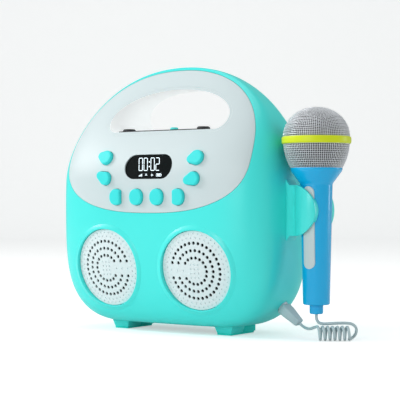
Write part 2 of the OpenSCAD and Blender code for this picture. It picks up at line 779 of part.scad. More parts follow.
// Hinge at the door's lower edge
hinge_pin_r = 1.25;
knuckle_r = 3;
leaf_w = 24;
knuckle_w = 8;
hinge_y = surf(0, disc_z - door_r) + 4.4;
hinge_z = disc_z - door_r - 3.4;
module pin_cut(r) {
  translate([-far, hinge_y, hinge_z]) rotate([0, 90, 0]) cylinder(r = r, h = 2 * far, $fn = 32);
}
module door_hinge_leaf() {
  leaf_top = disc_z - door_r + 14;
  color(teal) difference() {
    union() {
      translate([-leaf_w / 2, hinge_y, hinge_z]) rotate([0, 90, 0])
        cylinder(r = knuckle_r, h = leaf_w, $fn = 32);
      hull() {
        block(-leaf_w / 2, leaf_w / 2, hinge_y + 1, hinge_y + knuckle_r, hinge_z, hinge_z + 1);
        block(-leaf_w / 2, leaf_w / 2, surf(0, leaf_top) + 0.1, surf(0, leaf_top) + 1.7,
          leaf_top - 1, leaf_top);
      }
    }
    pin_cut(hinge_pin_r + 0.05);
    pebble_skin();
  }
}
// The space taken by the rear surface, grown by a hair, for what is laid on it
module pebble_skin() {
  translate([0, 0.1, 0]) rear_half(0, body_h);
}
module door_hinge_bracket() {
  color(teal) difference() {
    for (s = [-1, 1]) {
      x0 = s > 0 ? leaf_w / 2 + 0.3 : -leaf_w / 2 - 0.3 - knuckle_w;
      hull() {
        translate([x0, hinge_y, hinge_z]) rotate([0, 90, 0])
          cylinder(r = knuckle_r, h = knuckle_w, $fn = 32);
        block(x0, x0 + knuckle_w, hinge_y - 9, hinge_y - 7, hinge_z - 6, hinge_z - 1);
      }
    }
    pin_cut(hinge_pin_r);
    pebble_skin();
  }
}
module door_hinge_pin() {
  l = leaf_w + 2 * knuckle_w;
  color(steel) translate([-l / 2, hinge_y, hinge_z]) rotate([0, 90, 0])
    cylinder(r = hinge_pin_r, h = l, $fn = 32);
}

pot_h = 8;
pot_r = 6;
shaft_r = 3;
module control_pots() {
  color([0.3, 0.34, 0.36]) for (s = [-1, 1]) translate([s * knob_x, -knob_y, deck_z - liner_t - pot_h]) {
    cylinder(r = pot_r, h = pot_h, $fn = 48);
    cylinder(r = shaft_r, h = pot_h + liner_t + knob_h - 1.2, $fn = 32);
  }
}
module knob(s) {
  color(dark) translate([s * knob_x, -knob_y, deck_z + 0.3]) difference() {
    rotate_extrude($fn = 64) polygon(concat([[0, 0], [knob_d / 2, 0]],
      [for (i = [0:6]) let(a = i * 15) [knob_d / 2 - 1.4 + 1.4 * cos(a), knob_h - 1.7 + 1.4 * sin(a)]],
      [[0, knob_h - 0.3]]));
    translate([0, 0, -1]) cylinder(r = shaft_r + 0.05, h = knob_h - 0.4, $fn = 32);
  }
}
module volume_knob() {
  knob(-1);
}
module echo_knob() {
  knob(1);
}

module door_button() {
  color(teal) translate([0, -door_button_y, arm_z + arm_t]) {
    cylinder(d = door_button_d, h = deck_z + door_button_travel + 0.2 - arm_z - arm_t, $fn = 48);
    translate([0, 0, deck_z + door_button_travel + 0.2 - arm_z - arm_t])
      cylinder(d1 = door_button_d, d2 = door_button_d - 1.6, h = 0.8, $fn = 48);
  }
}
module release_arm() {
  color([0.85, 0.86, 0.88]) {
    block(-arm_w / 2, arm_w / 2, -door_button_y - 4.5, arm_end_y, arm_z, arm_z + arm_t);
    block(-arm_w / 2, arm_w / 2, arm_end_y - 3.5, arm_end_y, nose_low_z, arm_z + arm_t);
  }
}

// A tube swept along points, with a round section of the given number of sides
function tangent(p, i) = unit(p[min(i + 1, len(p) - 1)] - p[max(i - 1, 0)]);
function carry(p, i, n) = i >= len(p) ? []
  : let(t = tangent(p, i), m = unit(n - (n * t) * t)) concat([m], carry(p, i + 1, m));
module tube(p, d, sides) {
  start = abs(tangent(p, 0).z) > 0.9 ? [1, 0, 0] : [0, 0, 1];
  side = carry(p, 0, start);
  points = [for (i = [0:len(p) - 1]) let(t = tangent(p, i), b = cross(t, side[i])) for (k = [0:sides - 1])
    p[i] + d / 2 * (cos(360 * k / sides) * side[i] + sin(360 * k / sides) * b)];
  skin = [for (i = [0:len(p) - 2]) for (k = [0:sides - 1]) for (half = [0, 1])
    let(k2 = (k + 1) % sides, low = i * sides, high = low + sides)
    half == 0 ? [low + k, high + k, low + k2] : [low + k2, high + k, high + k2]];
  first = [for (k = [0:sides - 1]) k];
  last = [for (k = [sides - 1:-1:0]) (len(p) - 1) * sides + k];
  polyhedron(points, concat(skin, [first, last]));
}
// A helix along +Z
function helix(r, pitch, from, to, per_turn) = [for (i = [0:round((to - from) / 360 * per_turn)])
  let(a = from + i * 360 / per_turn) [r * cos(a), r * sin(a), pitch * (a - from) / 360]];

spring_wire = 0.7;
spring_r = 3.2;
module release_spring() {
  turns = 4;
  low = bracket_z + spring_wire / 2 + 0.05;
  high = arm_z - spring_wire / 2 - 0.05;
  color(steel) translate([0, -door_button_y, low])
    tube(helix(spring_r, (high - low) / turns, 0, turns * 360, 8), spring_wire, 6);
}

module mic_jack() {
  color([0.86, 0.9, 0.92]) translate(jack_at) along(jack_dir) difference() {
    union() {
      translate([0, 0, -jack_l]) cylinder(r = jack_r, h = jack_l + jack_proud, $fn = 48);
      translate([0, 0, -wall - 3.4]) cylinder(r = jack_r + 1.6, h = 1.4, $fn = 48);
    }
    translate([0, 0, -jack_l + 1]) cylinder(r = plug_pin_r + 0.05, h = 40, $fn = 32);
  }
}
module charge_socket() {
  y = surf(charge_x, charge_z);
  color(dark) difference() {
    union() {
      y_rod(charge_x, charge_z, y - 13, y - 3.2, charge_r);
      y_rod(charge_x, charge_z, y - 13, y - 11, charge_r + 1.5);
    }
    y_rod(charge_x, charge_z, y - 11, y, charge_bore_r);
  }
}
module plug_body() {
  color(cord_grey) translate(jack_at) along(jack_dir) hull() {
    translate([-4, -6, jack_proud + 0.05]) cube([8, 12, 5]);
    translate([-3, -3.5, jack_proud + plug_l - 1]) cube([6, 7, 1]);
  }
}
module plug_pin() {
  color(steel) translate(jack_at) along(jack_dir) {
    translate([0, 0, -11]) cylinder(r = plug_pin_r, h = 11 + jack_proud + 0.05, $fn = 32);
    translate([0, 0, -12.2]) cylinder(r1 = 0.8, r2 = plug_pin_r, h = 1.2, $fn = 32);
  }
}

// The lead lies on the floor: a curly stretch along coil_yaw, a short lead to the plug,
// and a lead that runs back over the curls and up to the microphone's nub.
coil_yaw = 35;
coil_at = [138.6, -9.3, coil_od / 2 + 0.05];
coil_r = (coil_od - cord_d) / 2;
coil_pitch = coil_l / (coil_halves / 2);
coil_u = [cos(coil_yaw), sin(coil_yaw), 0];
coil_n = [-sin(coil_yaw), cos(coil_yaw), 0];
curls = [for (q = helix(coil_r, coil_pitch, 90, 90 + 180 * coil_halves, 8))
  coil_at + coil_u * q.z + coil_n * q.x + [0, 0, q.y]];
// The curls start on top, heading forwards, and end at the bottom, heading back
coil_path = concat([curls[0] + coil_n * cord_d], curls, [curls[len(curls) - 1] + coil_n * cord_d]);
plug_tail = jack_at + jack_dir * (jack_proud + plug_l);
LEAD_PLUG_POINTS = [[116, 7.2, 8.6], [119.5, 4.8, 8], [123.5, 1.6, 7.9], [127.8, -1.4, 8.5],
  [131.8, -3.9, 9.7], [134.9, -5.9, 10.6]];
lead_plug_path = concat([plug_tail, plug_tail + jack_dir * cord_d], LEAD_PLUG_POINTS, [coil_path[0]]);
LEAD_MIC_POINTS = [[158.6, 10.3, 1.8], [160.3, 12.7, 4.4], [161, 13.5, 7.6], [160.4, 12.8, 10.8],
  [158.3, 10.6, 13], [155.4, 8, 13.7], [151.6, 4.8, 13.8], [147.2, 1.6, 13.6], [142.5, -0.6, 13.2],
  [138.4, -1, 13], [134.8, -0.5, 13.5], [132.6, -0.1, 15.6]];
nub_end = [mic_x, 0, nub_z];
lead_mic_path = concat([coil_path[len(coil_path) - 1]], LEAD_MIC_POINTS,
  [nub_end - [0, 0, cord_d], nub_end]);
module cord_lead_plug() {
  color(cord_grey) tube(lead_plug_path, cord_d, 8);
}
module cord_coil() {
  color(cord_grey) tube(coil_path, cord_d, 6);
}
module cord_lead_mic() {
  color(cord_grey) tube(lead_mic_path, cord_d, 8);
}
// Least gap of the curls to themselves, between points more than half a curl apart
coil_gap = min([for (i = [0:len(coil_path) - 6]) for (j = [i + 5:len(coil_path) - 1])
  norm(coil_path[i] - coil_path[j])]) - cord_d;
function path_l(p, i) = i < 1 ? 0 : norm(p[i] - p[i - 1]) + path_l(p, i - 1);
lead_length = path_l(lead_plug_path, len(lead_plug_path) - 1) + path_l(coil_path, len(coil_path) - 1)
  + path_l(lead_mic_path, len(lead_mic_path) - 1);

// Radius of the microphone's handle at a height
grip_taper = (grip_top_d - grip_low_d) / (grip_top_z - grip_low_z);
function grip_r(z) = (grip_low_d + grip_taper * (z - grip_low_z)) / 2;
module at_mic() {
  translate([mic_x, 0, 0]) children();
}
module grip_form(g) {
  rotate_extrude($fn = 72) polygon([[0, grip_low_z - 20], [grip_r(grip_low_z - 20) + g, grip_low_z - 20],
    [grip_r(grip_top_z + 5) + g, grip_top_z + 5], [0, grip_top_z + 5]]);
}
module mic_handle() {
  color(mic_blue) at_mic() rotate_extrude($fn = 72) polygon([
    [1.3, nub_z], [nub_d / 2 - 1, nub_z], [nub_d / 2, nub_z + 1.5], [nub_d / 2, grip_low_z - 1],
    [nub_d / 2 + 0.5, grip_low_z], [grip_r(grip_low_z) - 1, grip_low_z],
    [grip_r(grip_low_z), grip_low_z + 1], [grip_top_d / 2, grip_top_z],
    [neck_d / 2 - 0.8, neck_z - 2.4], [neck_d / 2, neck_z - 1.4], [neck_d / 2, neck_z],
    [neck_d / 2 - grip_wall, neck_z], [neck_d / 2 - grip_wall - 1, neck_z - 2.5],
    [grip_top_d / 2 - grip_wall, grip_top_z + 0.5], [grip_r(grip_low_z) - grip_wall, grip_low_z + 3],
    [1.3, grip_low_z + 3]]);
}
// Profile radius of the head's lower and upper halves
function low_r(z) = let(b = (head_z - neck_z) / sqrt(1 - pow(neck_d / head_d, 2)))
  head_d / 2 * sqrt(1 - pow((head_z - z) / b, 2));
head_top_z = head_z + head_d / 2;
mesh_t = 1.2;
module mic_grille_lower() {
  top = head_z - band_h / 2;
  n = 8;
  color(steel) at_mic() rotate_extrude($fn = 64) polygon(concat(
    [for (i = [0:n]) let(z = neck_z + (top - neck_z) * i / n) [low_r(z), z]],
    [for (i = [n:-1:0]) let(z = neck_z + (top - neck_z) * i / n) [low_r(z) - mesh_t, z]]));
}
module mic_grille_upper() {
  base = head_z + band_h / 2;
  rise = head_top_z - base;
  n = 12;
  color(steel) at_mic() rotate_extrude($fn = 64) polygon(concat(
    [for (i = [0:n]) let(a = 90 * i / n) [head_d / 2 * cos(a), base + rise * sin(a)]],
    [for (i = [n:-1:0]) let(a = 90 * i / n)
      [(head_d / 2 - mesh_t) * cos(a), base + (rise - mesh_t) * sin(a)]]));
}
module mic_band() {
  r = band_d / 2;
  inner = head_d / 2 - mesh_t - 0.6;
  color(band_lime) at_mic() rotate_extrude($fn = 72) polygon([
    [inner, head_z - band_h / 2], [r - 1, head_z - band_h / 2], [r, head_z - band_h / 2 + 1.2],
    [r, head_z + band_h / 2 - 1.2], [r - 1, head_z + band_h / 2], [inner, head_z + band_h / 2]]);
}
module mic_capsule() {
  plate_r = neck_d / 2 - grip_wall - 1;
  color(dark) at_mic() {
    translate([0, 0, neck_z - 2.4]) cylinder(r = plate_r - 0.05, h = 2.2, $fn = 48);
    translate([0, 0, neck_z - 0.4]) cylinder(r = 9, h = 13, $fn = 48);
  }
}

switch_z = 104;
switch_l = 8;
switch_w = 5;
// A rounded bar that stands out of the handle towards the front
module strip_bar(w, z0, z1, reach) {
  translate([0, -8, 0]) rotate([90, 0, 0]) linear_extrude(reach - 8) {
    translate([0, (z0 + z1) / 2]) square([w, z1 - z0 - w], center = true);
    for (z = [z0 + w / 2, z1 - w / 2]) translate([0, z]) circle(d = w, $fn = 40);
  }
}
module mic_switch_plate() {
  color(shell_white) at_mic() difference() {
    intersection() {
      strip_bar(strip_w, strip_low_z, strip_low_z + strip_l, 20);
      grip_form(strip_t);
    }
    grip_form(0.02);
    translate([-switch_w / 2 - 0.3, -20, switch_z - switch_l / 2 - 3])
      cube([switch_w + 0.6, 12, switch_l + 6]);
  }
}
module mic_switch() {
  color(mic_blue) at_mic() difference() {
    translate([-switch_w / 2, -grip_r(switch_z) - strip_t - 0.6, switch_z - switch_l / 2])
      cube([switch_w, strip_t + 2, switch_l]);
    grip_form(0.12);
  }
}

module mic_holder() {
  lobe_r = holder_h / 2;
  outer = grip_r(holder_z) + strip_t + holder_gap + holder_t;
  low = holder_z - holder_h / 2;
  high = low + holder_h;
  arm_x = mic_x - outer + 3;
  fillet = 7;
  color(teal) difference() {
    union() {
      at_mic() intersection() {
        translate([0, 0, low]) cylinder(r = outer, h = holder_h, $fn = 72);
        translate([-lobe_back, far / 2, holder_z]) rotate([90, 0, 0]) cylinder(r = lobe_r, h = far, $fn = 72);
      }
      upright(-arm_half_w, arm_half_w) polygon([
        [body_w / 2 - 2, low - fillet], [body_w / 2 + 1, low - fillet / 3],
        [body_w / 2 + 3, low], [arm_x, low], [arm_x, high], [body_w / 2 + 3, high],
        [body_w / 2 + 1, high + fillet / 3], [body_w / 2 - 2, high + fillet]]);
    }
    pebble(-0.03, body_h, 0, 360);
    at_mic() grip_form(holder_gap);
    at_mic() strip_bar(strip_w + 1.2, low - 10, low + holder_h + 20, grip_r(grip_top_z) + strip_t + 0.4);
    at_mic() strip_bar(switch_w + 1, low - 10, low + holder_h + 20, grip_r(grip_top_z) + strip_t + 1.1);
  }
}

foot_in = 44;
foot_out = 64;
foot_y = 19;
sole_t = 1.6;
module moulded_feet() {
  color(teal) difference() {
    mirrored() hull() {
      block(foot_in + 3, foot_out - 3, -foot_y + 2, 1, sole_t, sole_t + 0.5);
      block(foot_in, foot_out, -foot_y, 1, foot_h + 3.5, foot_h + 4);
    }
    pebble(0, body_h, 0, 360);
  }
}
module rubber_feet() {
  color(dark) difference() {
    mirrored() {
      block(foot_in + 3, foot_out - 3, -foot_y + 2, foot_y - 1, 0, sole_t);
      block(foot_in + 2, foot_out - 2, 1.1, foot_y, sole_t, foot_h + 4);
    }
    pebble(0, body_h, 0, 360);
  }
}

module case_screws() {
  color(steel) for (s = SCREWS) {
    y_rod(s.x, s.y, -11, screw_head_y, screw_d / 2);
    y_rod(s.x, s.y, screw_head_y, screw_head_y + 2, screw_head_d / 2);
  }
}

cell_r = 9.2;
cell_l = 65;
cell_y = 3;
cell_z = foot_h + wall + 2 + cell_r;
module battery_holder() {
  color(dark) difference() {
    block(-cell_l / 2 - 3, cell_l / 2 + 3, cell_y - cell_r - 1.5, cell_y + cell_r + 1.5,
      foot_h + wall + 0.05, cell_z);
    translate([-cell_l / 2 - 0.3, cell_y, cell_z]) rotate([0, 90, 0])
      cylinder(r = cell_r + 0.2, h = cell_l + 0.6, $fn = 48);
  }
}
module battery_cell() {
  color([0.2, 0.45, 0.7]) translate([-cell_l / 2, cell_y, cell_z]) rotate([0, 90, 0])
    cylinder(r = cell_r, h = cell_l, $fn = 48);
}

echo(coil_gap = coil_gap, lead_length = lead_length);

module placed() {
  translate([shift_x, shift_y, 0]) children();
}
placed() front_shell();
placed() rear_shell();
placed() face_panel();
placed() handle_liner();
placed() display_window();
placed() display_module();
placed() left_grille();
placed() right_grille();
placed() left_speaker_frame();
placed() right_speaker_frame();
placed() speaker_cones();
placed() button_board();
placed() main_board();
placed() mic_holder();
placed() moulded_feet();
placed() rubber_feet();
placed() case_screws();
placed() battery_cell();
placed() battery_holder();
placed() mic_jack();
placed() charge_socket();
placed() disc_well();
placed() mech_chassis();
placed() guide_rods();
placed() feed_motor();
placed() spindle_motor();
placed() door_hinge_bracket();
placed() door_hinge_pin();
placed() control_pots();
placed() release_spring();
placed() plug_body();
placed() plug_pin();
placed() cord_lead_plug();
placed() cord_coil();
placed() cord_lead_mic();
placed() side_button(0);  // button_left_upper
placed() side_button(1);  // button_left_lower
placed() side_button(2);  // button_right_upper
placed() side_button(3);  // button_right_lower
placed() row_button(0);  // button_row_1
placed() row_button(1);  // button_row_2
placed() row_button(2);  // button_row_3
placed() row_button(3);  // button_row_4
placed() volume_knob();
placed() echo_knob();
placed() door_button();
placed() release_arm();
placed() disc_door();
placed() door_hinge_leaf();
placed() turntable();
placed() feed_screw();
placed() pickup_sled();
placed() pickup_lens();
placed() mic_handle();
placed() mic_grille_lower();
placed() mic_band();
placed() mic_grille_upper();
placed() mic_switch_plate();
placed() mic_switch();
placed() mic_capsule();
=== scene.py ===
# %% [markdown]
# A karaoke machine is a moulded plastic pebble with a carrying handle, a white face panel,
# two round speaker grilles, rubbery buttons and a microphone that hangs on one side.
# The CAD frame already holds every piece in its right place. This lesson dresses it:
# smooth shells for faceted ones, woven wire for the microphone's head, and a finish on each piece.

# %% Load the frame and note its size
import json
import math

import bpy
import bmesh
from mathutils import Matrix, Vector


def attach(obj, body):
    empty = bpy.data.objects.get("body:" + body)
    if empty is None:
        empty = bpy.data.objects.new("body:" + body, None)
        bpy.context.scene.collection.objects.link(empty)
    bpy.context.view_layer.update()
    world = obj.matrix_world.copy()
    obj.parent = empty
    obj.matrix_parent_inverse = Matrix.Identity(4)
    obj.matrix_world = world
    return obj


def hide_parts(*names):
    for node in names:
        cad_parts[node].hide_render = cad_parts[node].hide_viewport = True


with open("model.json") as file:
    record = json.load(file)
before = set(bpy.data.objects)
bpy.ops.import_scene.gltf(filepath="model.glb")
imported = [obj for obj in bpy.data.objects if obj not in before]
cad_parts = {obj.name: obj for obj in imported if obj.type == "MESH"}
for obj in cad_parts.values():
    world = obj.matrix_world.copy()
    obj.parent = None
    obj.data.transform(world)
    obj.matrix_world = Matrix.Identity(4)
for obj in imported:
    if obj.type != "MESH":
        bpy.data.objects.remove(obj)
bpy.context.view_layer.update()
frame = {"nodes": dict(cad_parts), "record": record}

# %% [markdown]
# Sizes are easier to read in millimetres around the body's own middle, as a maker would draw them.
# One helper turns such a point into metres in the shared frame, where the microphone's side is +X.

# %% Millimetres around the body's middle to the shared frame
MM = 0.001
SHIFT = Vector((-26, 1.5, 0))


def place(x, y, z):
    return (Vector((x, y, z)) + SHIFT) * MM


# %% [markdown]
# The camera stands level with the middle of the body, to the right of the front, quite far away,
# with a long lens. That keeps upright edges parallel, as in a catalogue photograph.

# %% Camera
VIEW_TURN = math.radians(35)
VIEW_DISTANCE = 1079
AIM_SIDE = 43.6
EYE_HEIGHT = 112
FACE_DEPTH = 50.6
LENS, SENSOR = 117, 36


def linked(name, data):
    """A new object of the scene that shows the given data."""
    thing = bpy.data.objects.new(name, data)
    bpy.context.scene.collection.objects.link(thing)
    return thing


camera_data = bpy.data.cameras.new("camera")
camera_data.lens = LENS
camera_data.sensor_width = SENSOR
camera_data.clip_start = 0.05
camera = linked("camera", camera_data)
camera.location = place(
    VIEW_DISTANCE * math.sin(VIEW_TURN) + AIM_SIDE * math.cos(VIEW_TURN),
    -FACE_DEPTH - VIEW_DISTANCE * math.cos(VIEW_TURN) + AIM_SIDE * math.sin(VIEW_TURN),
    EYE_HEIGHT)
camera.rotation_euler = (math.radians(90), 0, VIEW_TURN)
bpy.context.scene.camera = camera
print("camera at", [round(c, 3) for c in camera.location])

# %% [markdown]
# The body is one rounded form. Seen from above each slice is a fat ellipse, and its depth and
# width follow two smooth curves of the height. The same rule gives the shells, the face panel
# and the disc door, so they stay flush with each other.

# %% The body's form
BODY_W, BODY_D, BODY_H = 216, 103, 226
FOOT_H = 7
WALL = 3.2
BELLY_Z = 130
SIDE_Z = 100
PLAN = 4.2
LEAN_SHARE, LEAN_POWER = 0.84, 1.7
CAP_SHARE, CAP_POWER = 0.16, 4
UNDER_DEPTH, UNDER_DEPTH_POWERS = (0.4, 0.6), (3.2, 2.4)
UNDER_WIDTH, UNDER_WIDTH_POWERS = (0.55, 0.45), (4, 2)
OVER_WIDTH_POWERS = (3, 2.1)


def share(t, p, q):
    """A soft fall from 1 in the middle to 0 at the edge, where t reaches 1."""
    return max(0.0, 1 - min(1.0, abs(t)) ** p) ** (1 / q)


def half_depth(z):
    if z >= BELLY_Z:
        t = min(1.0, (z - BELLY_Z) / (BODY_H - BELLY_Z))
        lean = (1 - t ** LEAN_POWER) ** LEAN_POWER
        cap = math.sqrt(max(0.0, 1 - t ** CAP_POWER))
        return BODY_D / 2 * (LEAN_SHARE * lean + CAP_SHARE * cap)
    least, rest = UNDER_DEPTH
    return BODY_D / 2 * (least + rest * share((BELLY_Z - z) / (BELLY_Z - FOOT_H), *UNDER_DEPTH_POWERS))


def half_width(z):
    if z >= SIDE_Z:
        return BODY_W / 2 * share((z - SIDE_Z) / (BODY_H - SIDE_Z), *OVER_WIDTH_POWERS)
    least, rest = UNDER_WIDTH
    return BODY_W / 2 * (least + rest * share((SIDE_Z - z) / (SIDE_Z - FOOT_H), *UNDER_WIDTH_POWERS))


def skin(x, z):
    """How far the surface lies in front of and behind the body's middle plane."""
    return half_depth(z) * share(x / half_width(z), PLAN, PLAN)


# %% [markdown]
# The lead runs from the plug in the body's side, through a few curls that lie on the floor,
# back over them and up to the microphone. Its points repeat the ones in the CAD source.
# A smooth curve through them needs more points than the source has, so each stretch is resampled.

# %% The lead's path
CORD = 2.4
COIL_R = 4.9
COIL_LENGTH = 25.4
COIL_HALVES = 13
COIL_TURN = math.radians(35)
COIL_AT = Vector((138.6, -9.3, 6.15))
COIL_ALONG = Vector((math.cos(COIL_TURN), math.sin(COIL_TURN), 0))
COIL_ACROSS = Vector((-math.sin(COIL_TURN), math.cos(COIL_TURN), 0))
PER_CURL = 16
EASE_STEPS = 3
PLUG_DIRECTION = Vector((0.78, 0, -0.62)).normalized()
PLUG_POINTS = [(116, 7.2, 8.6), (119.5, 4.8, 8), (123.5, 1.6, 7.9), (127.8, -1.4, 8.5),
               (131.8, -3.9, 9.7), (134.9, -5.9, 10.6)]
MIC_POINTS = [(158.6, 10.3, 1.8), (160.3, 12.7, 4.4), (161, 13.5, 7.6), (160.4, 12.8, 10.8),
              (158.3, 10.6, 13), (155.4, 8, 13.7), (151.6, 4.8, 13.8), (147.2, 1.6, 13.6),
              (142.5, -0.6, 13.2), (138.4, -1, 13), (134.8, -0.5, 13.5), (132.6, -0.1, 15.6)]
NUB_END = Vector((132, 0, 20.5))
JACK_Y, JACK_Z, PLUG_REACH = 8, 24, 20.5
JACK_AT = Vector((half_width(JACK_Z) * share(JACK_Y / half_depth(JACK_Z), PLAN, PLAN), JACK_Y, JACK_Z))
PLUG_TAIL = JACK_AT + PLUG_DIRECTION * PLUG_REACH


def curls():
    pitch = COIL_LENGTH / (COIL_HALVES / 2)
    steps = round(COIL_HALVES / 2 * PER_CURL)
    points = []
    for i in range(steps + 1):
        a = math.pi / 2 + 2 * math.pi * i / PER_CURL
        points.append(COIL_AT + COIL_ALONG * (pitch * i / PER_CURL)
                      + COIL_ACROSS * (COIL_R * math.cos(a)) + Vector((0, 0, COIL_R * math.sin(a))))
    return points


def eased(points, steps):
    """A smooth line through points, with the given number of steps between each two."""
    line = []
    for i in range(len(points) - 1):
        a, b = points[i], points[i + 1]
        before = points[i - 1] if i else a * 2 - b
        after = points[i + 2] if i + 2 < len(points) else b * 2 - a
        for k in range(steps):
            t = k / steps
            line.append(0.5 * (2 * a + (b - before) * t + (2 * before - 5 * a + 4 * b - after) * t ** 2
                               + (3 * a - 3 * b + after - before) * t ** 3))
    return line + [points[-1]]


coil = curls()
coil_start = coil[0] + COIL_ACROSS * CORD
coil_end = coil[-1] + COIL_ACROSS * CORD
to_plug = eased([PLUG_TAIL, PLUG_TAIL + PLUG_DIRECTION * CORD] + [Vector(p) for p in PLUG_POINTS]
                + [coil_start, coil[0]], EASE_STEPS)
to_mic = eased([coil[-1], coil_end] + [Vector(p) for p in MIC_POINTS]
               + [NUB_END - Vector((0, 0, CORD)), NUB_END], EASE_STEPS)
lead_line = (to_plug[:-1] + coil[:-1] + to_mic)[::-1]


# %% [markdown]
# Finishes come in families. Every moulded plastic has a faint uneven gloss, a fine grain that
# only shows in a highlight, and a slight drift of colour. One node group makes all three, and
# each material sets its own colour, grain and strength.

# %% Node group: moulded plastic
def group_sockets(tree, inputs, outputs):
    for name, kind, value in inputs:
        socket = tree.interface.new_socket(name=name, in_out="INPUT", socket_type=kind)
        if value is not None:
            socket.default_value = value
    for name, kind in outputs:
        tree.interface.new_socket(name=name, in_out="OUTPUT", socket_type=kind)
    return tree.nodes.new("NodeGroupInput"), tree.nodes.new("NodeGroupOutput")


def math_node(tree, operation, a, b):
    node = tree.nodes.new("ShaderNodeMath")
    node.operation = operation
    for socket, value in zip(node.inputs, (a, b)):
        if isinstance(value, (int, float)):
            socket.default_value = value
        else:
            tree.links.new(value, socket)
    return node.outputs[0]


def noise_node(tree, vector, scale, detail=3.0):
    node = tree.nodes.new("ShaderNodeTexNoise")
    node.inputs["Detail"].default_value = detail
    tree.links.new(vector, node.inputs["Vector"])
    if isinstance(scale, (int, float)):
        node.inputs["Scale"].default_value = scale
    else:
        tree.links.new(scale, node.inputs["Scale"])
    return node.outputs["Fac"]


def mix_colour(tree, factor, a, b):
    node = tree.nodes.new("ShaderNodeMix")
    node.data_type = "RGBA"
    for socket, value in ((node.inputs[0], factor), (node.inputs[6], a), (node.inputs[7], b)):
        if hasattr(value, "is_linked"):
            tree.links.new(value, socket)
        else:
            socket.default_value = value
    return node.outputs[2]


DRIFT_SCALE, DRIFT_SHARE = 14.0, 0.35
SMEAR_SCALE, SMEAR_DEPTH = 60.0, 0.05


def moulded_group():
    tree = bpy.data.node_groups.new("moulded plastic", "ShaderNodeTree")
    given, made = group_sockets(
        tree,
        [("Colour", "NodeSocketColor", (0.5, 0.5, 0.5, 1)),
         ("Deep colour", "NodeSocketColor", (0.4, 0.4, 0.4, 1)),
         ("Roughness", "NodeSocketFloat", 0.3), ("Grain size", "NodeSocketFloat", 2500.0)],
        [("Colour", "NodeSocketColor"), ("Roughness", "NodeSocketFloat"), ("Height", "NodeSocketFloat")])
    spot = tree.nodes.new("ShaderNodeTexCoord").outputs["Object"]
    drift = noise_node(tree, spot, DRIFT_SCALE)
    smears = noise_node(tree, spot, SMEAR_SCALE)
    grain = noise_node(tree, spot, given.outputs["Grain size"], 1.0)
    colour = mix_colour(tree, math_node(tree, "MULTIPLY", drift, DRIFT_SHARE),
                        given.outputs["Colour"], given.outputs["Deep colour"])
    uneven = math_node(tree, "MULTIPLY", math_node(tree, "SUBTRACT", smears, 0.5), SMEAR_DEPTH)
    tree.links.new(colour, made.inputs["Colour"])
    tree.links.new(math_node(tree, "ADD", given.outputs["Roughness"], uneven), made.inputs["Roughness"])
    tree.links.new(grain, made.inputs["Height"])
    return tree


MOULDED = moulded_group()


# %% [markdown]
# Metal on this machine is drawn wire, turned rods and stamped cans. A second group stretches
# a noise into fine streaks along the piece, which is what a die or a lathe leaves behind.

# %% Node group: drawn metal
STREAK_DARK = (0.25, 0.25, 0.27, 1)
STREAK_SHARE, STREAK_DULL = 0.4, 0.2


def drawn_group():
    tree = bpy.data.node_groups.new("drawn metal", "ShaderNodeTree")
    given, made = group_sockets(
        tree,
        [("Colour", "NodeSocketColor", (0.7, 0.7, 0.72, 1)), ("Roughness", "NodeSocketFloat", 0.3),
         ("Streaks", "NodeSocketVector", (1500, 1500, 60))],
        [("Colour", "NodeSocketColor"), ("Roughness", "NodeSocketFloat"), ("Height", "NodeSocketFloat")])
    spot = tree.nodes.new("ShaderNodeTexCoord").outputs["Object"]
    stretch = tree.nodes.new("ShaderNodeVectorMath")
    stretch.operation = "MULTIPLY"
    tree.links.new(spot, stretch.inputs[0])
    tree.links.new(given.outputs["Streaks"], stretch.inputs[1])
    streak = noise_node(tree, stretch.outputs[0], 1.0, 2.0)
    dark = mix_colour(tree, math_node(tree, "MULTIPLY", streak, STREAK_SHARE),
                      given.outputs["Colour"], STREAK_DARK)
    tree.links.new(dark, made.inputs["Colour"])
    tree.links.new(math_node(tree, "ADD", given.outputs["Roughness"],
                             math_node(tree, "MULTIPLY", streak, STREAK_DULL)), made.inputs["Roughness"])
    tree.links.new(streak, made.inputs["Height"])
    return tree


DRAWN = drawn_group()


# %% [markdown]
# Each finish is one material: a family's group feeds the shader, and values such as the coat are
# set on the shader's own sockets. The colours are written as they look on a screen.

# %% Materials from the groups
RELIEF_DEPTH = 0.0002


def srgb(red, green, blue):
    """A colour as it is read off a screen, 0 to 255, in the linear values that Blender mixes."""
    def linear(c):
        c /= 255
        return c / 12.92 if c <= 0.04045 else ((c + 0.055) / 1.055) ** 2.4
    return (linear(red), linear(green), linear(blue), 1)


def new_material(name, group, inputs, bump, **shader_values):
    material = bpy.data.materials.new(name)
    material.use_nodes = True
    tree = material.node_tree
    shader = tree.nodes["Principled BSDF"]
    finish = tree.nodes.new("ShaderNodeGroup")
    finish.node_tree = group
    for key, value in inputs.items():
        finish.inputs[key].default_value = value
    tree.links.new(finish.outputs["Colour"], shader.inputs["Base Color"])
    tree.links.new(finish.outputs["Roughness"], shader.inputs["Roughness"])
    relief = tree.nodes.new("ShaderNodeBump")
    relief.inputs["Strength"].default_value = bump
    relief.inputs["Distance"].default_value = RELIEF_DEPTH
    tree.links.new(finish.outputs["Height"], relief.inputs["Height"])
    tree.links.new(relief.outputs["Normal"], shader.inputs["Normal"])
    for key, value in shader_values.items():
        shader.inputs[key.replace("_", " ").title().replace("Ior", "IOR")].default_value = value
    return material


def plastic(name, colour, deep, roughness, grain=2500.0, bump=0.05, **shader_values):
    return new_material(name, MOULDED, {"Colour": colour, "Deep colour": deep, "Roughness": roughness,
                                        "Grain size": grain}, bump, **shader_values)


def metal(name, colour, roughness, streaks, bump=0.05):
    return new_material(name, DRAWN, {"Colour": colour, "Roughness": roughness, "Streaks": streaks},
                        bump, metallic=1.0)


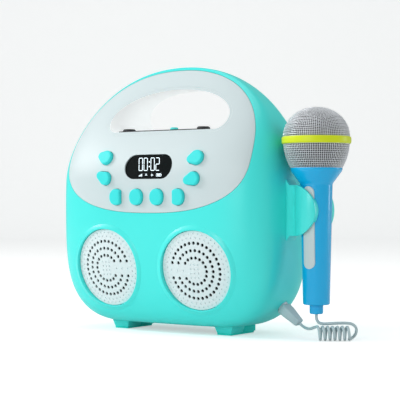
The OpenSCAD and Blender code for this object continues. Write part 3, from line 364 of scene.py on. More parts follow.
FINISHES = {
    "teal_shell": plastic("teal shell", srgb(74, 240, 233), srgb(60, 230, 226), 0.34, coat_weight=0.12,
                          specular_ior_level=0.4),
    "teal_button": plastic("teal button", srgb(58, 232, 230), srgb(44, 218, 220), 0.5, 1800.0, 0.12,
                           specular_ior_level=0.35),
    "white_shell": plastic("white shell", srgb(210, 222, 224), srgb(200, 214, 217), 0.42,
                           specular_ior_level=0.35),
    "white_grille": plastic("white grille", srgb(226, 238, 240), srgb(216, 230, 232), 0.45, 1600.0, 0.1,
                            specular_ior_level=0.3),
    "window": plastic("smoked window", srgb(6, 14, 15), srgb(4, 9, 10), 0.16, specular_ior_level=0.15),
    "lcd": plastic("display body", srgb(52, 60, 60), srgb(40, 46, 46), 0.5),
    "black_plastic": plastic("black plastic", srgb(38, 38, 42), srgb(26, 26, 30), 0.55, 1500.0, 0.2),
    "cone_paper": plastic("speaker paper", srgb(60, 60, 62), srgb(42, 42, 44), 0.85, 900.0, 0.5),
    "circuit_board": plastic("circuit board", srgb(40, 130, 84), srgb(26, 96, 60), 0.4, 700.0, 0.3),
    "rubber": plastic("teal rubber", srgb(6, 226, 214), srgb(0, 212, 202), 0.75, 1400.0, 0.4),
    "cell_wrap": plastic("cell wrapper", srgb(60, 120, 190), srgb(46, 100, 170), 0.3),
    "jack_plastic": plastic("jack plastic", srgb(222, 228, 232), srgb(206, 214, 220), 0.35),
    "chassis": plastic("painted chassis", srgb(112, 118, 126), srgb(92, 98, 106), 0.45, 1200.0, 0.2),
    "lens": plastic("pickup lens", srgb(120, 96, 190), srgb(90, 70, 160), 0.05, coat_weight=1.0),
    "lead": plastic("lead jacket", srgb(196, 214, 218), srgb(178, 198, 204), 0.4, 1800.0, 0.1),
    "mic_blue": plastic("blue handle", srgb(0, 182, 240), srgb(0, 170, 232), 0.25, coat_weight=0.35,
                        specular_ior_level=0.4),
    "lime": plastic("lime band", srgb(222, 236, 30), srgb(210, 226, 20), 0.35, specular_ior_level=0.35),
    "steel": metal("steel", srgb(206, 208, 212), 0.28, (1500, 1500, 60)),
    "mesh": metal("woven wire", srgb(236, 238, 242), 0.34, (900, 900, 900)),
}
slot_of = {entry["node"]: entry["material_slot"] for entry in frame["record"]["subparts"]}
for node_name, node in frame["nodes"].items():
    node.data.materials.clear()
    node.data.materials.append(FINISHES[slot_of[node_name]])
print("finishes:", len(FINISHES), "on", len(frame["nodes"]), "CAD pieces")


# %% [markdown]
# Every new piece goes through one door: its mesh is made in place, it takes its finish from
# a slot, rides on a body, and hides the CAD pieces it stands for.

# %% Making a piece
def dress(name, mesh, slot, body="body", replaces=(), sharp=40):
    piece = linked(name, mesh)
    if not mesh.materials:
        mesh.materials.append(FINISHES[slot])
    mesh.shade_smooth()
    if sharp:
        mesh.set_sharp_from_angle(angle=math.radians(sharp))
    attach(piece, body)
    if replaces:
        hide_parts(*replaces)


def circle(r, n):
    """n points around a circle."""
    return [(r * math.cos(2 * math.pi * k / n), r * math.sin(2 * math.pi * k / n)) for k in range(n)]


def rings_mesh(name, rings, first_cap=True, last_cap=True, closed=False):
    """A mesh through rings of points, each ring given in order around the form."""
    n = len(rings[0])
    points = [place(*p) for ring in rings for p in ring]
    faces = []
    spans = len(rings) if closed else len(rings) - 1
    for i in range(spans):
        low, high = i * n, (i + 1) % len(rings) * n
        faces += [(low + k, low + (k + 1) % n, high + (k + 1) % n, high + k) for k in range(n)]
    if first_cap and not closed:
        faces.append(tuple(range(n))[::-1])
    if last_cap and not closed:
        faces.append(tuple((len(rings) - 1) * n + k for k in range(n)))
    mesh = bpy.data.meshes.new(name)
    mesh.from_pydata(points, [], faces)
    tidy = bmesh.new()
    tidy.from_mesh(mesh)
    bmesh.ops.remove_doubles(tidy, verts=tidy.verts, dist=1e-7)
    bmesh.ops.recalc_face_normals(tidy, faces=tidy.faces)
    tidy.to_mesh(mesh)
    tidy.free()
    return mesh


def joined(name, meshes):
    """One mesh from several."""
    whole = bmesh.new()
    for mesh in meshes:
        whole.from_mesh(mesh)
        bpy.data.meshes.remove(mesh)
    result = bpy.data.meshes.new(name)
    whole.to_mesh(result)
    whole.free()
    return result


def settled(piece):
    """The piece's mesh with its modifiers worked in."""
    bpy.context.view_layer.update()
    graph = bpy.context.evaluated_depsgraph_get()
    mesh = bpy.data.meshes.new_from_object(piece.evaluated_get(graph))
    piece.modifiers.clear()
    piece.data = mesh
    return mesh


def carved(mesh, cutters, operation="DIFFERENCE"):
    """mesh with each cutter taken away from it, or only what lies inside it."""
    piece = linked("carving", mesh)
    tools = []
    for cutter in cutters:
        tool = linked("cutter", cutter)
        tools.append(tool)
        step = piece.modifiers.new("carve", "BOOLEAN")
        step.object = tool
        step.operation = operation
        step.solver = "EXACT"
    result = settled(piece)
    for thing in [piece] + tools:
        bpy.data.objects.remove(thing)
    return result


# %% [markdown]
# The shells are made of rings of points on that form, from the underside up to the handle's bow.

# %% Rings of the form
LEAST_HALF_W, LEAST_HALF_D = 1.5, 0.8
PAST_MIDDLE = 2


def power(v, p):
    return math.copysign(abs(v) ** p, v)


def pebble(inset, top, first, last, levels=100, steps=120):
    """Half of the body's form, smaller all round by inset. A hollow reaches past the middle."""
    bottom = FOOT_H + inset
    rings = []
    for i in range(levels + 1):
        z = bottom + (top - bottom) * (1 - math.cos(math.pi * i / levels)) / 2
        w = max(LEAST_HALF_W, half_width(z) - inset)
        d = max(LEAST_HALF_D, half_depth(z) - inset)
        ring = []
        for k in range(steps + 1):
            a = math.radians(first + (last - first) * k / steps)
            back = 0
            if inset > 0 and k in (0, steps):
                back = -PAST_MIDDLE if first < 180 else PAST_MIDDLE
            ring.append((w * power(math.cos(a), 2 / PLAN), d * power(math.sin(a), 2 / PLAN) + back, z))
        rings.append(ring)
    return rings_mesh("pebble", rings)


def front_half(inset, top):
    return pebble(inset, top, 180, 360)


def rear_half(inset, top):
    return pebble(inset, top, 0, 180)


# %% [markdown]
# Openings are drawn flat, in width and height, and pushed through the shell as prisms.

# %% Outlines and cutters
PANEL_HALF_W, PANEL_Z = 94, 147
PANEL_TOP_RIM, PANEL_LOW_Z = 3, 101.4
PANEL_UP, PANEL_DOWN = BODY_H - PANEL_TOP_RIM - PANEL_Z, PANEL_Z - PANEL_LOW_Z
PANEL_UP_POWER, PANEL_DOWN_POWER = 2.2, 2.5
PANEL_GAP = 0.3
PANEL_T = 1.6
LINER_T = 2.2
FIT = 0.1
FAR = 80
DECK_Z = 170
HANDLE_W, HANDLE_H, HANDLE_CORNER, HANDLE_X = 122, 36, 10, 5


def panel_outline(grow, n=200):
    points = []
    for i in range(n):
        a = 2 * math.pi * i / n
        up = math.sin(a) >= 0
        p = PANEL_UP_POWER if up else PANEL_DOWN_POWER
        points.append(((PANEL_HALF_W + grow) * power(math.cos(a), 2 / p),
                       PANEL_Z + ((PANEL_UP if up else PANEL_DOWN) + grow) * power(math.sin(a), 2 / p)))
    return points


def handle_outline(grow, arch=64, corner=12):
    half = HANDLE_W / 2 + grow
    wide_z = DECK_Z + HANDLE_CORNER
    rise = HANDLE_H - HANDLE_CORNER + grow
    r = HANDLE_CORNER + grow
    flat = HANDLE_W / 2 - HANDLE_CORNER
    points = [(half * math.cos(math.pi * i / arch), wide_z + rise * math.sin(math.pi * i / arch))
              for i in range(arch + 1)]
    for i in range(1, corner + 1):
        a = math.pi / 2 * i / corner
        points.append((-flat - r * math.cos(a), wide_z - r * math.sin(a)))
    for i in range(corner, 0, -1):
        a = math.pi / 2 * i / corner
        points.append((flat + r * math.cos(a), wide_z - r * math.sin(a)))
    return [(x + HANDLE_X, z) for x, z in points]


def prism(outline, y0, y1):
    return rings_mesh("prism", [[(x, y0, z) for x, z in outline], [(x, y1, z) for x, z in outline]])


def round_bar(start, direction, length, r, sides=64):
    """A round bar between two ends, in millimetres around the body's middle."""
    start, along = Vector(start), Vector(direction).normalized()
    side = along.orthogonal().normalized()
    other = along.cross(side)
    rings = []
    for d in (0, length):
        rings.append([tuple(start + along * d + r * (math.cos(2 * math.pi * k / sides) * side
                                                     + math.sin(2 * math.pi * k / sides) * other))
                      for k in range(sides)])
    return rings_mesh("bar", rings)


# %% [markdown]
# Buttons, window and speakers sit square to the curved front. Each place has its own sideways,
# upward and outward directions, and outlines are drawn flat in them.

# %% The slanted places on the front: buttons, window and speakers
def front_frame(x, z, reach=0.5):
    """The point on the front surface and its sideways, upward and outward directions."""
    out = Vector((-(skin(x + reach, z) - skin(x - reach, z)), -2 * reach,
                  -(skin(x, z + reach) - skin(x, z - reach)))).normalized()
    side = Vector((0, 0, 1)).cross(out).normalized()
    return Vector((x, -skin(x, z), z)), side, out.cross(side), out


def on_front(spot, points):
    """Points given sideways, upward and outward of a place on the front."""
    origin, side, up, out = spot
    return [tuple(origin + a * side + b * up + c * out) for a, b, c in points]


def slanted_prism(spot, outline, low, high):
    return rings_mesh("prism", [on_front(spot, [(a, b, low) for a, b in outline]),
                                on_front(spot, [(a, b, high) for a, b in outline])])


def pebble_outline(length, blunt_r, slim_r, turn, grow, n=96):
    """Two circles of different size wrapped by one line: the shape of a side button."""
    blunt_x, slim_x = length / 2 - blunt_r, slim_r - length / 2
    turn = math.radians(turn)
    points = []
    for i in range(n):
        a = 2 * math.pi * i / n
        blunt = math.cos(a) * (blunt_x - slim_x) > slim_r - blunt_r
        cx, r = (blunt_x, blunt_r) if blunt else (slim_x, slim_r)
        px, pz = cx + (r + grow) * math.cos(a), (r + grow) * math.sin(a)
        points.append((px * math.cos(turn) - pz * math.sin(turn), px * math.sin(turn) + pz * math.cos(turn)))
    return points


def cut_round_outline(width, height, flat_side, grow, n=96):
    """A soft round with one side cut straight: the shape of an outer row button."""
    points = []
    for i in range(n):
        a = 2 * math.pi * i / n
        px = (width / 2 + grow) * power(math.cos(a), ROW_SQUARE)
        if flat_side:
            limit = width * ROW_CUT + grow
            px = flat_side * min(flat_side * px, limit)
        points.append((px, (height / 2 + grow) * power(math.sin(a), ROW_SQUARE)))
    return points


def pill_outline(width, height, grow, n=32):
    half, r = (width - height) / 2, height / 2 + grow
    points = []
    for i in range(2 * n):
        a = -math.pi / 2 + math.pi * (i % n) / (n - 1)
        s = 1 if i < n else -1
        points.append((s * (half + r * math.cos(a)), s * r * math.sin(a)))
    return points


SIDE_BUTTONS = {"button_left_upper": (-47, 148, -16, 6.2), "button_left_lower": (-45.5, 131, -25, 5.7),
                "button_right_upper": (47, 146, 16, 6.2), "button_right_lower": (45.5, 129, 14, 5.7)}
SIDE_LENGTH, SLIM_R = 15, 3.6
ROW_FLATS = (1, 0, 0, -1)
ROW_PITCH, ROW_Z = 21.2, 114.5
ROW_W, ROW_H = 13, 13.6
ROW_SQUARE = 0.9
ROW_CUT = 0.36
BUTTONS = {}
for button_name, (bx, bz, turn, blunt) in SIDE_BUTTONS.items():
    BUTTONS[button_name] = (
        bx, bz, lambda grow, t=turn, b=blunt: pebble_outline(SIDE_LENGTH, b, SLIM_R, t, grow))
for number, flat in enumerate(ROW_FLATS):
    BUTTONS["button_row_%d" % (number + 1)] = (
        (number - 1.5) * ROW_PITCH, ROW_Z, lambda grow, f=flat: cut_round_outline(ROW_W, ROW_H, f, grow))
SPEAKER_X, SPEAKER_Z, GRILLE_R = 46, 54, 33
SEAT_GAP = 0.3
WINDOW_Z = 140
GRILLE_LOW, GRILLE_T, GRILLE_CROWN = -6.4, 3, 2.8
speaker_spots = [front_frame(s * SPEAKER_X, SPEAKER_Z, GRILLE_R * 0.9) for s in (-1, 1)]
window_spot = front_frame(0, WINDOW_Z)
print("buttons:", len(BUTTONS))

# %% [markdown]
# The front shell is a hollow half of the form, with the panel's place and the two speaker
# seats cut out. Booleans do this best here, because the cuts cross a doubly curved surface.

# %% Front shell
HOLLOW_TOP = BODY_H - 14
front = carved(front_half(0, BODY_H), [
    front_half(WALL, HOLLOW_TOP), prism(panel_outline(PANEL_GAP), -FAR, 5)])
SEAT_DEPTH, SEAT_REACH = 14, 40
front = carved(front, [round_bar(origin - out * SEAT_DEPTH, out, SEAT_REACH, GRILLE_R + SEAT_GAP, sides=128)
                       for origin, side, up, out in speaker_spots])
dress("front_shell_skin", front, "teal_shell", replaces=["front_shell"], sharp=32)
print("front shell:", len(front.polygons), "faces")

# %% [markdown]
# The rear shell is the other half, with the round disc door, the screw wells, the charge
# socket and the microphone jack cut through it.

# %% Rear shell
DISC_Z, DOOR_R = 90, 66
DOOR_GAP = 0.4
SCREWS = [(92, 105), (78, 165), (72, 22), (-92, 105), (-78, 165), (-72, 22)]
CHARGE_X, CHARGE_Z, CHARGE_R = -78, 60, 5.6
JACK_R, JACK_REACH = 5.1, 20
WELL_R = 3.2
BACKWARD = (0, 1, 0)


def handle_cut():
    return prism(handle_outline(LINER_T + FIT), -FAR, FAR)


rear_cuts = [rear_half(WALL, HOLLOW_TOP), handle_cut(),
             round_bar((0, 10, DISC_Z), BACKWARD, FAR, DOOR_R + DOOR_GAP, sides=160),
             round_bar(JACK_AT - PLUG_DIRECTION * JACK_REACH, PLUG_DIRECTION, 2 * JACK_REACH, JACK_R),
             round_bar((CHARGE_X, 10, CHARGE_Z), BACKWARD, FAR, CHARGE_R)]
rear_cuts += [round_bar((x, 15, z), BACKWARD, FAR, WELL_R, sides=40) for x, z in SCREWS]
rear = carved(rear_half(0, BODY_H), rear_cuts)
dress("rear_shell_skin", rear, "teal_shell", replaces=["rear_shell"], sharp=32)
print("rear shell:", len(rear.polygons), "faces")


# %% [markdown]
# Behind each hole of the rear shell is a short tube: a collar around the disc compartment and
# a well for each screw. Their outer ends follow the body's surface, so they are swept directly.

# %% Collar and screw wells
def surface_tube(x, z, r_in, r_out, y_low, below, steps=72):
    """A tube along the depth whose rear end lies a little below the body's surface."""
    rings = []
    for r, top in ((r_in, False), (r_out, False), (r_out, True), (r_in, True)):
        rings.append([(x + a, skin(x + a, z + b) - below if top else y_low, z + b)
                      for a, b in circle(r, steps)])
    return rings_mesh("tube", rings, closed=True)


wells = [surface_tube(x, z, WELL_R, WELL_R + 1, 14, 1.5, 32) for x, z in SCREWS]
wells.append(surface_tube(0, DISC_Z, DOOR_R + DOOR_GAP, DOOR_R + 2.6, 28, 1.0, 160))
dress("shell_wells", joined("shell_wells", wells), "teal_shell")

# %% [markdown]
# The disc door is a round lid with the same curve as the shell around it.

# %% Disc door
door_rings = []
for r, inset in [(0.5, WALL), (30, WALL), (DOOR_R, WALL), (DOOR_R, 0.4), (DOOR_R - 0.3, 0.05)] \
        + [(DOOR_R * i / 24, 0) for i in range(23, 0, -1)]:
    door_rings.append([(a, skin(a, DISC_Z + b) - inset, DISC_Z + b) for a, b in circle(r, 160)])
dress("disc_door_skin", rings_mesh("disc_door", door_rings), "teal_shell", "disc_door", ["disc_door"])

# %% [markdown]
# The face panel is a thin white skin laid into the front shell. It is the same slice of the
# form, kept inside its outline, with the handle, the display and the buttons cut out of it.

# %% Face panel
WINDOW_W, WINDOW_H = 49, 21
BUTTON_GAP = 0.35
CUT_REACH = 12
panel = carved(front_half(0, BODY_H), [prism(panel_outline(0), -FAR, -0.02)], "INTERSECT")
panel_cuts = [front_half(PANEL_T, BODY_H - 4), handle_cut(),
              slanted_prism(window_spot, pill_outline(WINDOW_W, WINDOW_H, FIT), -CUT_REACH, CUT_REACH)]
for bx, bz, outline in BUTTONS.values():
    panel_cuts.append(slanted_prism(front_frame(bx, bz), outline(BUTTON_GAP), -CUT_REACH, CUT_REACH))
panel = carved(panel, panel_cuts)
dress("face_panel_skin", panel, "white_shell", replaces=["face_panel"], sharp=32)
print("face panel:", len(panel.polygons), "faces")

# %% [markdown]
# The handle opening is lined by a white tunnel from front to back. Its rings run around the
# opening, and their ends follow the front and rear surfaces. Its inner faces get a paler copy of
# the white with a faint glow: painted light that stands in for the light bouncing about inside.

# %% Handle tunnel
DEPTH_STEPS = 24
HAIR = 0.02
inner, outer = handle_outline(0, 96, 16), handle_outline(LINER_T, 96, 16)
forward = [-1 + 2 * i / DEPTH_STEPS for i in range(DEPTH_STEPS + 1)]
tunnel = rings_mesh("tunnel", [[(x, t * (skin(x, z) - HAIR), z) for x, z in outline]
                               for outline, order in ((inner, forward), (outer, forward[::-1]))
                               for t in order], closed=True)
KNOB_X, KNOB_Y = 39, -0.245 * BODY_D
RELEASE_Y, RELEASE_R = -0.125 * BODY_D, 3.8
STEM_R, KNOB_R = 3.3, 5.8


def deck_holes(below, length, knob_r, sides):
    """Upright bars where the two knobs and the release button go through the deck."""
    places = [(-KNOB_X, KNOB_Y, knob_r), (KNOB_X, KNOB_Y, knob_r), (0, RELEASE_Y, RELEASE_R)]
    return [round_bar((x, y, DECK_Z - below), (0, 0, 1), length, r, sides) for x, y, r in places]


tunnel = carved(tunnel, deck_holes(6, 10, STEM_R, 32))
tunnel.materials.clear()
tunnel.materials.append(FINISHES["white_shell"])
# Painted bounce light: a paler white than the panel, with a faint glow, for the tunnel's inner faces.
tunnel.materials.append(plastic("tunnel painted bounce light", srgb(250, 252, 252), srgb(243, 247, 248), 0.4,
                                emission_color=(1, 1, 1, 1), emission_strength=0.16))
# The inner walls, which face across the opening, take the painted bounce light; the rest keeps the panel's
# white.
for face in tunnel.polygons:
    face.material_index = 1 if abs(face.normal.y) < 0.5 else 0
dress("handle_tunnel", tunnel, "white_shell", replaces=["handle_liner"])


# %% [markdown]
# A thin dark plate lies on the deck under the two knobs and the door's button. From below the
# eye's level only its front edge shows, as the dark line at the foot of the handle opening.

# %% Control plate
PLATE_T = 0.9
PLATE_HALF_W, PLATE_FRONT, PLATE_BACK, PLATE_CORNER = 46, -33.5, -7.5, 4


def rounded_box(x0, x1, y0, y1, r, n=8):
    points = []
    for cx, cy, first in ((x1 - r, y1 - r, 0), (x0 + r, y1 - r, 90),
                          (x0 + r, y0 + r, 180), (x1 - r, y0 + r, 270)):
        points += [(cx + r * math.cos(math.radians(first + 90 * i / n)),
                    cy + r * math.sin(math.radians(first + 90 * i / n))) for i in range(n + 1)]
    return points


plate_outline = rounded_box(-PLATE_HALF_W, PLATE_HALF_W, PLATE_FRONT, PLATE_BACK, PLATE_CORNER)
plate = rings_mesh("plate", [[(x, y, DECK_Z + h) for x, y in plate_outline] for h in (HAIR, PLATE_T)])
dress("control_plate", carved(plate, deck_holes(1, 4, KNOB_R, 48)), "black_plastic")

# %% [markdown]
# The buttons are rubbery caps: straight sides, a rounded shoulder and a slightly domed top.
# Each is a stack of rings that keep the outline's shape while they shrink.

# %% Buttons
BUTTON_PROUD = 3
SHOULDER = 1.3


def button_mesh(spot, outline):
    levels = [(0, -5.2), (0, -2), (0, BUTTON_PROUD - SHOULDER)]
    for i in range(1, 7):
        a = math.pi / 2 * i / 6
        levels.append((-SHOULDER * (1 - math.cos(a)), BUTTON_PROUD - SHOULDER * (1 - math.sin(a))))
    rings = [[(a, b, height) for a, b in outline(grow)] for grow, height in levels]
    crest = outline(-SHOULDER)
    for s in (0.8, 0.55, 0.3, 0.06):
        rings.append([(a * s, b * s, BUTTON_PROUD) for a, b in crest])
    return rings_mesh("button", [on_front(spot, ring) for ring in rings])


for button_name, (bx, bz, outline) in BUTTONS.items():
    dress(button_name + "_cap", button_mesh(front_frame(bx, bz), outline), "teal_button",
          button_name, [button_name])
print("button caps:", len(BUTTONS))

# %% [markdown]
# Geometry Nodes make what repeats. A small kit builds a tree with named inputs, and another
# helper sets those inputs by their identifiers and works the result into a plain mesh.

# %% Geometry Nodes kit
def node_tree(name, inputs):
    tree = bpy.data.node_groups.new(name, "GeometryNodeTree")
    tree.interface.new_socket(name="Geometry", in_out="INPUT", socket_type="NodeSocketGeometry")
    for label, kind, value in inputs:
        socket = tree.interface.new_socket(name=label, in_out="INPUT", socket_type=kind)
        if value is not None:
            socket.default_value = value
    tree.interface.new_socket(name="Geometry", in_out="OUTPUT", socket_type="NodeSocketGeometry")
    return tree, tree.nodes.new("NodeGroupInput"), tree.nodes.new("NodeGroupOutput")


def node(tree, kind, links=(), **settings):
    made = tree.nodes.new(kind)
    for key, value in settings.items():
        setattr(made, key, value)
    for index, value in links:
        if hasattr(value, "is_linked"):
            tree.links.new(value, made.inputs[index])
        else:
            made.inputs[index].default_value = value
    return made


def closing(tree, geometry, given, made):
    """Realize Instances and Set Material, which end every tree."""
    real = node(tree, "GeometryNodeRealizeInstances", [(0, geometry)])
    painted = node(tree, "GeometryNodeSetMaterial", [
        (0, real.outputs[0]), ("Material", given.outputs["Material"])])
    tree.links.new(painted.outputs[0], made.inputs[0])


def grown(mesh, tree, values):
    """mesh after a node tree has worked on it, with the tree's inputs set by name."""
    piece = linked("growing", mesh)
    modifier = piece.modifiers.new("nodes", "NODES")
    modifier.node_group = tree
    for item in tree.interface.items_tree:
        if item.item_type == "SOCKET" and item.in_out == "INPUT" and item.name in values:
            modifier[item.identifier] = values[item.name]
    result = settled(piece)
    bpy.data.objects.remove(piece)
    return result


# %% [markdown]
# The speaker grilles are crowned discs with three arcs of sound holes and faint blind dimples
# around them. One node tree takes a round bar out of the disc at each point of a second object.
# It runs twice: with long bars for the holes, and with short ones that only dent the face.

# %% Grille discs
HOLE_R = 1.4
DIMPLE_R = 0.8
GRILLE_SKIN = 1.1
ARCS = [(23, 32), (17, 23), (11, 15)]
ARC_GAP = 6.4
HOLE_DEPTH, DIMPLE_DEPTH = 12, 1.1
EDGE_R = 0.6
RIM_W, HOLLOW_W = 2.6, 3
POLE_R = 0.02


def crown_height(r):
    return GRILLE_LOW + GRILLE_T + GRILLE_CROWN * (1 - (r / GRILLE_R) ** 2)


def grille_mesh(spot):
    hollow_r, crown_r = GRILLE_R - HOLLOW_W, GRILLE_R - EDGE_R
    rim_z = GRILLE_LOW + GRILLE_T
    profile = [(POLE_R + hollow_r * i / 12, crown_height(hollow_r * i / 12) - GRILLE_SKIN) for i in range(13)]
    profile += [(GRILLE_R - RIM_W, GRILLE_LOW), (GRILLE_R, GRILLE_LOW), (GRILLE_R, rim_z - EDGE_R)]
    for i in range(1, 5):
        a = math.pi / 2 * i / 4
        profile.append((GRILLE_R - EDGE_R * (1 - math.cos(a)), rim_z - EDGE_R * (1 - math.sin(a))))
    profile += [(crown_r * (1 - i / 16) + POLE_R, crown_height(crown_r * (1 - i / 16))) for i in range(1, 17)]
    return rings_mesh("grille", [on_front(spot, [(a, b, h) for a, b in circle(r, 128)]) for r, h in profile])


def hole_places(opens_right):
    """Where the sound holes of a grille are, as sideways and upward distances."""
    places = []
    for r, count in ARCS:
        gap = math.asin(ARC_GAP / r)
        for i in range(count):
            a = gap + (2 * math.pi - 2 * gap) * i / (count - 1) + (0 if opens_right else math.pi)
            places.append((r * math.cos(a), r * math.sin(a)))
    return places


def dimple_places(opens_right):
    """Where the blind dimples are: two rings at the rim, and rows in the middle and the gap."""
    places = []
    for r, count, shift in ((30.6, 44, 0), (27.4, 40, 0.5)):
        for i in range(count):
            a = 2 * math.pi * (i + shift) / count
            places.append((r * math.cos(a), r * math.sin(a)))
    toward = 1 if opens_right else -1
    places += [(toward * d, 0) for d in (11, 17, 23)]
    places += [(x, z) for x in (-3.6, 0, 3.6) for z in (-5.4, -1.8, 1.8, 5.4)]
    return places


def points_mesh(name, points):
    mesh = bpy.data.meshes.new(name)
    mesh.from_pydata([place(*p) for p in points], [], [])
    return mesh


def pierce_tree():
    """Cuts a round bar out of a mesh at each loose point."""
    tree, given, made = node_tree("pierce", [
        ("Points", "NodeSocketObject", None), ("Radius", "NodeSocketFloat", 0.001),
        ("Depth", "NodeSocketFloat", 0.012), ("Turn", "NodeSocketVector", (0, 0, 0)),
        ("Material", "NodeSocketMaterial", None)])
    info = node(tree, "GeometryNodeObjectInfo", [("Object", given.outputs["Points"])])
    bar = node(tree, "GeometryNodeMeshCylinder", [
        ("Vertices", 18), ("Radius", given.outputs["Radius"]), ("Depth", given.outputs["Depth"])])
    turn = node(tree, "FunctionNodeEulerToRotation", [(0, given.outputs["Turn"])])
    copies = node(tree, "GeometryNodeInstanceOnPoints", [
        ("Points", info.outputs["Geometry"]), ("Instance", bar.outputs["Mesh"]),
        ("Rotation", turn.outputs[0])])
    cut = node(tree, "GeometryNodeMeshBoolean", [("Mesh 1", given.outputs["Geometry"]),
                                                 ("Mesh 2", copies.outputs[0])],
               operation="DIFFERENCE", solver="MANIFOLD")
    closing(tree, cut.outputs[0], given, made)
    return tree


PIERCE = pierce_tree()


def pierced(disc, spot, places, radius, depth):
    """disc without the round bars that stand at the given places."""
    centres = linked("centres", points_mesh("centres", on_front(spot, places)))
    disc = grown(disc, PIERCE, {
        "Points": centres, "Radius": radius * MM, "Depth": depth * MM,
        "Turn": spot[3].to_track_quat("Z", "Y").to_euler(), "Material": FINISHES["white_grille"]})
    bpy.data.objects.remove(centres)
    return disc


for side_name, spot in zip(("left", "right"), speaker_spots):
    opens_right = side_name == "left"
    holes = [(a, b, GRILLE_LOW + 2) for a, b in hole_places(opens_right)]
    dents = [(a, b, crown_height(math.hypot(a, b))) for a, b in dimple_places(opens_right)]
    disc = pierced(grille_mesh(spot), spot, holes, HOLE_R, HOLE_DEPTH)
    disc = pierced(disc, spot, dents, DIMPLE_R, DIMPLE_DEPTH)
    dress(side_name + "_grille_disc", disc, "white_grille", replaces=[side_name + "_grille"], sharp=32)
    print(side_name, "grille:", len(disc.polygons), "faces")


# %% [markdown]
# A soft raised bead frames each grille. Its profile is a low wave that starts at the seat's
# edge and fades into the shell, laid ring by ring onto the curved surface.

# %% Beads around the grilles
BEAD_WIDTH, BEAD_HEIGHT = 4.4, 1.1


def bead_mesh(spot, steps=160):
    origin, side, up, out = spot
    profile = [(0, -3.0), (0, 0.6)]
    for i in range(1, 13):
        t = i / 12
        profile.append((BEAD_WIDTH * t, BEAD_HEIGHT * (0.5 + 0.5 * math.cos(math.pi * t)) ** 0.5 - 0.06 * t))
    profile.append((BEAD_WIDTH, -1.5))
    rings = []
    for offset, height in profile:
        ring = []
        for a, b in circle(GRILLE_R + SEAT_GAP + offset, steps):
            spot_on = origin + side * a + up * b
            for _ in range(4):
                spot_on += out * ((spot_on.y + skin(spot_on.x, spot_on.z)) / -out.y)
            ring.append(tuple(spot_on + out * height))
        rings.append(ring)
    return rings_mesh("bead", rings, first_cap=False, last_cap=False)


beads = joined("beads", [bead_mesh(spot) for spot in speaker_spots])
dress("grille_beads", beads, "teal_shell", sharp=50)


# %% [markdown]
# The microphone is turned work: each piece is a profile spun round one upright axis.

# %% Microphone handle, band and liner
MIC_X = 132
HEAD_R, HEAD_Z, BAND_H = 27, 160, 6
NECK_R, NECK_Z = 21, 138
HEAD_TOP = 187


def turned(profile, steps=96):
    return rings_mesh("turned", [[(MIC_X + a, b, z) for a, b in circle(r, steps)] for r, z in profile])


def rounded(profile, r, steps=5):
    """The profile with each inner corner replaced by a small arc of chords."""
    result = [profile[0]]
    for i in range(1, len(profile) - 1):
        a, b, c = (Vector(profile[j]) for j in (i - 1, i, i + 1))
        reach = min(r, (a - b).length / 2.2, (c - b).length / 2.2)
        start, end = b + (a - b).normalized() * reach, b + (c - b).normalized() * reach
        for k in range(steps + 1):
            t = k / steps
            result.append(tuple(start * (1 - t) ** 2 + b * 2 * t * (1 - t) + end * t ** 2))
    return result + [profile[-1]]


handle_profile = rounded([
    (1.3, 20.5), (5.5, 20.5), (5.5, 28), (10.8, 28), (13, 125), (NECK_R - 0.6, NECK_Z - 3),
    (NECK_R, NECK_Z - 1.4), (NECK_R, NECK_Z), (NECK_R - 2, NECK_Z), (NECK_R - 3, NECK_Z - 2.5),
    (11, 125.5), (8.8, 31), (1.3, 31)], 1.4)
dress("mic_handle_shell", turned(handle_profile), "mic_blue", "microphone", ["mic_handle"])
band_profile = rounded([
    (25.2, HEAD_Z - 3), (27.2, HEAD_Z - 3), (28, HEAD_Z - 2), (28, HEAD_Z + 2), (27.2, HEAD_Z + 3),
    (25.2, HEAD_Z + 3)], 0.8)
dress("mic_band_ring", turned(band_profile, 128), "lime", "microphone", ["mic_band"])

# %% [markdown]
# The head is pressed from woven steel wire over a dark foam liner. A grid of square cells is
# bent over the dome and the cone, and a node tree turns each of its edges into round wire.
# Every other crossing is lifted a little, which gives the weave its in and out.

# %% Woven head
WIRE_R = 0.32
WEAVE = 0.22
CELLS = 24


def dome_point(direction, lift=0.0):
    base = HEAD_Z + BAND_H / 2
    return (MIC_X + (HEAD_R - 0.4 + lift) * direction.x, (HEAD_R - 0.4 + lift) * direction.y,
            base + (HEAD_TOP - base - 0.4 + lift) * direction.z)


def dome_grid():
    """Square cells of equal angle over a dome: one patch on top and four around it."""
    corners, faces = {}, []

    def corner(direction):
        key = tuple(round(c, 5) for c in direction.normalized())
        return corners.setdefault(key, len(corners))

    def patch(to_direction, rows):
        for i in range(CELLS):
            for j in range(rows):
                quad = [(i, j), (i + 1, j), (i + 1, j + 1), (i, j + 1)]
                faces.append([corner(to_direction(*(math.tan(math.pi / 4 * (2 * c / CELLS - 1)) for c in q)))
                              for q in quad])

    patch(lambda a, b: Vector((a, b, 1)), CELLS)
    for turn in range(4):
        c, s = math.cos(turn * math.pi / 2), math.sin(turn * math.pi / 2)
        patch(lambda a, b, c=c, s=s: Vector((c - s * a, s + c * a, -b)), CELLS // 2)
    points = []
    for key, index in corners.items():
        points.append(dome_point(Vector(key), WEAVE * (1 if index % 2 else -1)))
    return points, faces


def cone_radius(z):
    b = (HEAD_Z - NECK_Z) / math.sqrt(1 - (NECK_R / HEAD_R) ** 2)
    return HEAD_R * math.sqrt(1 - ((HEAD_Z - z) / b) ** 2)


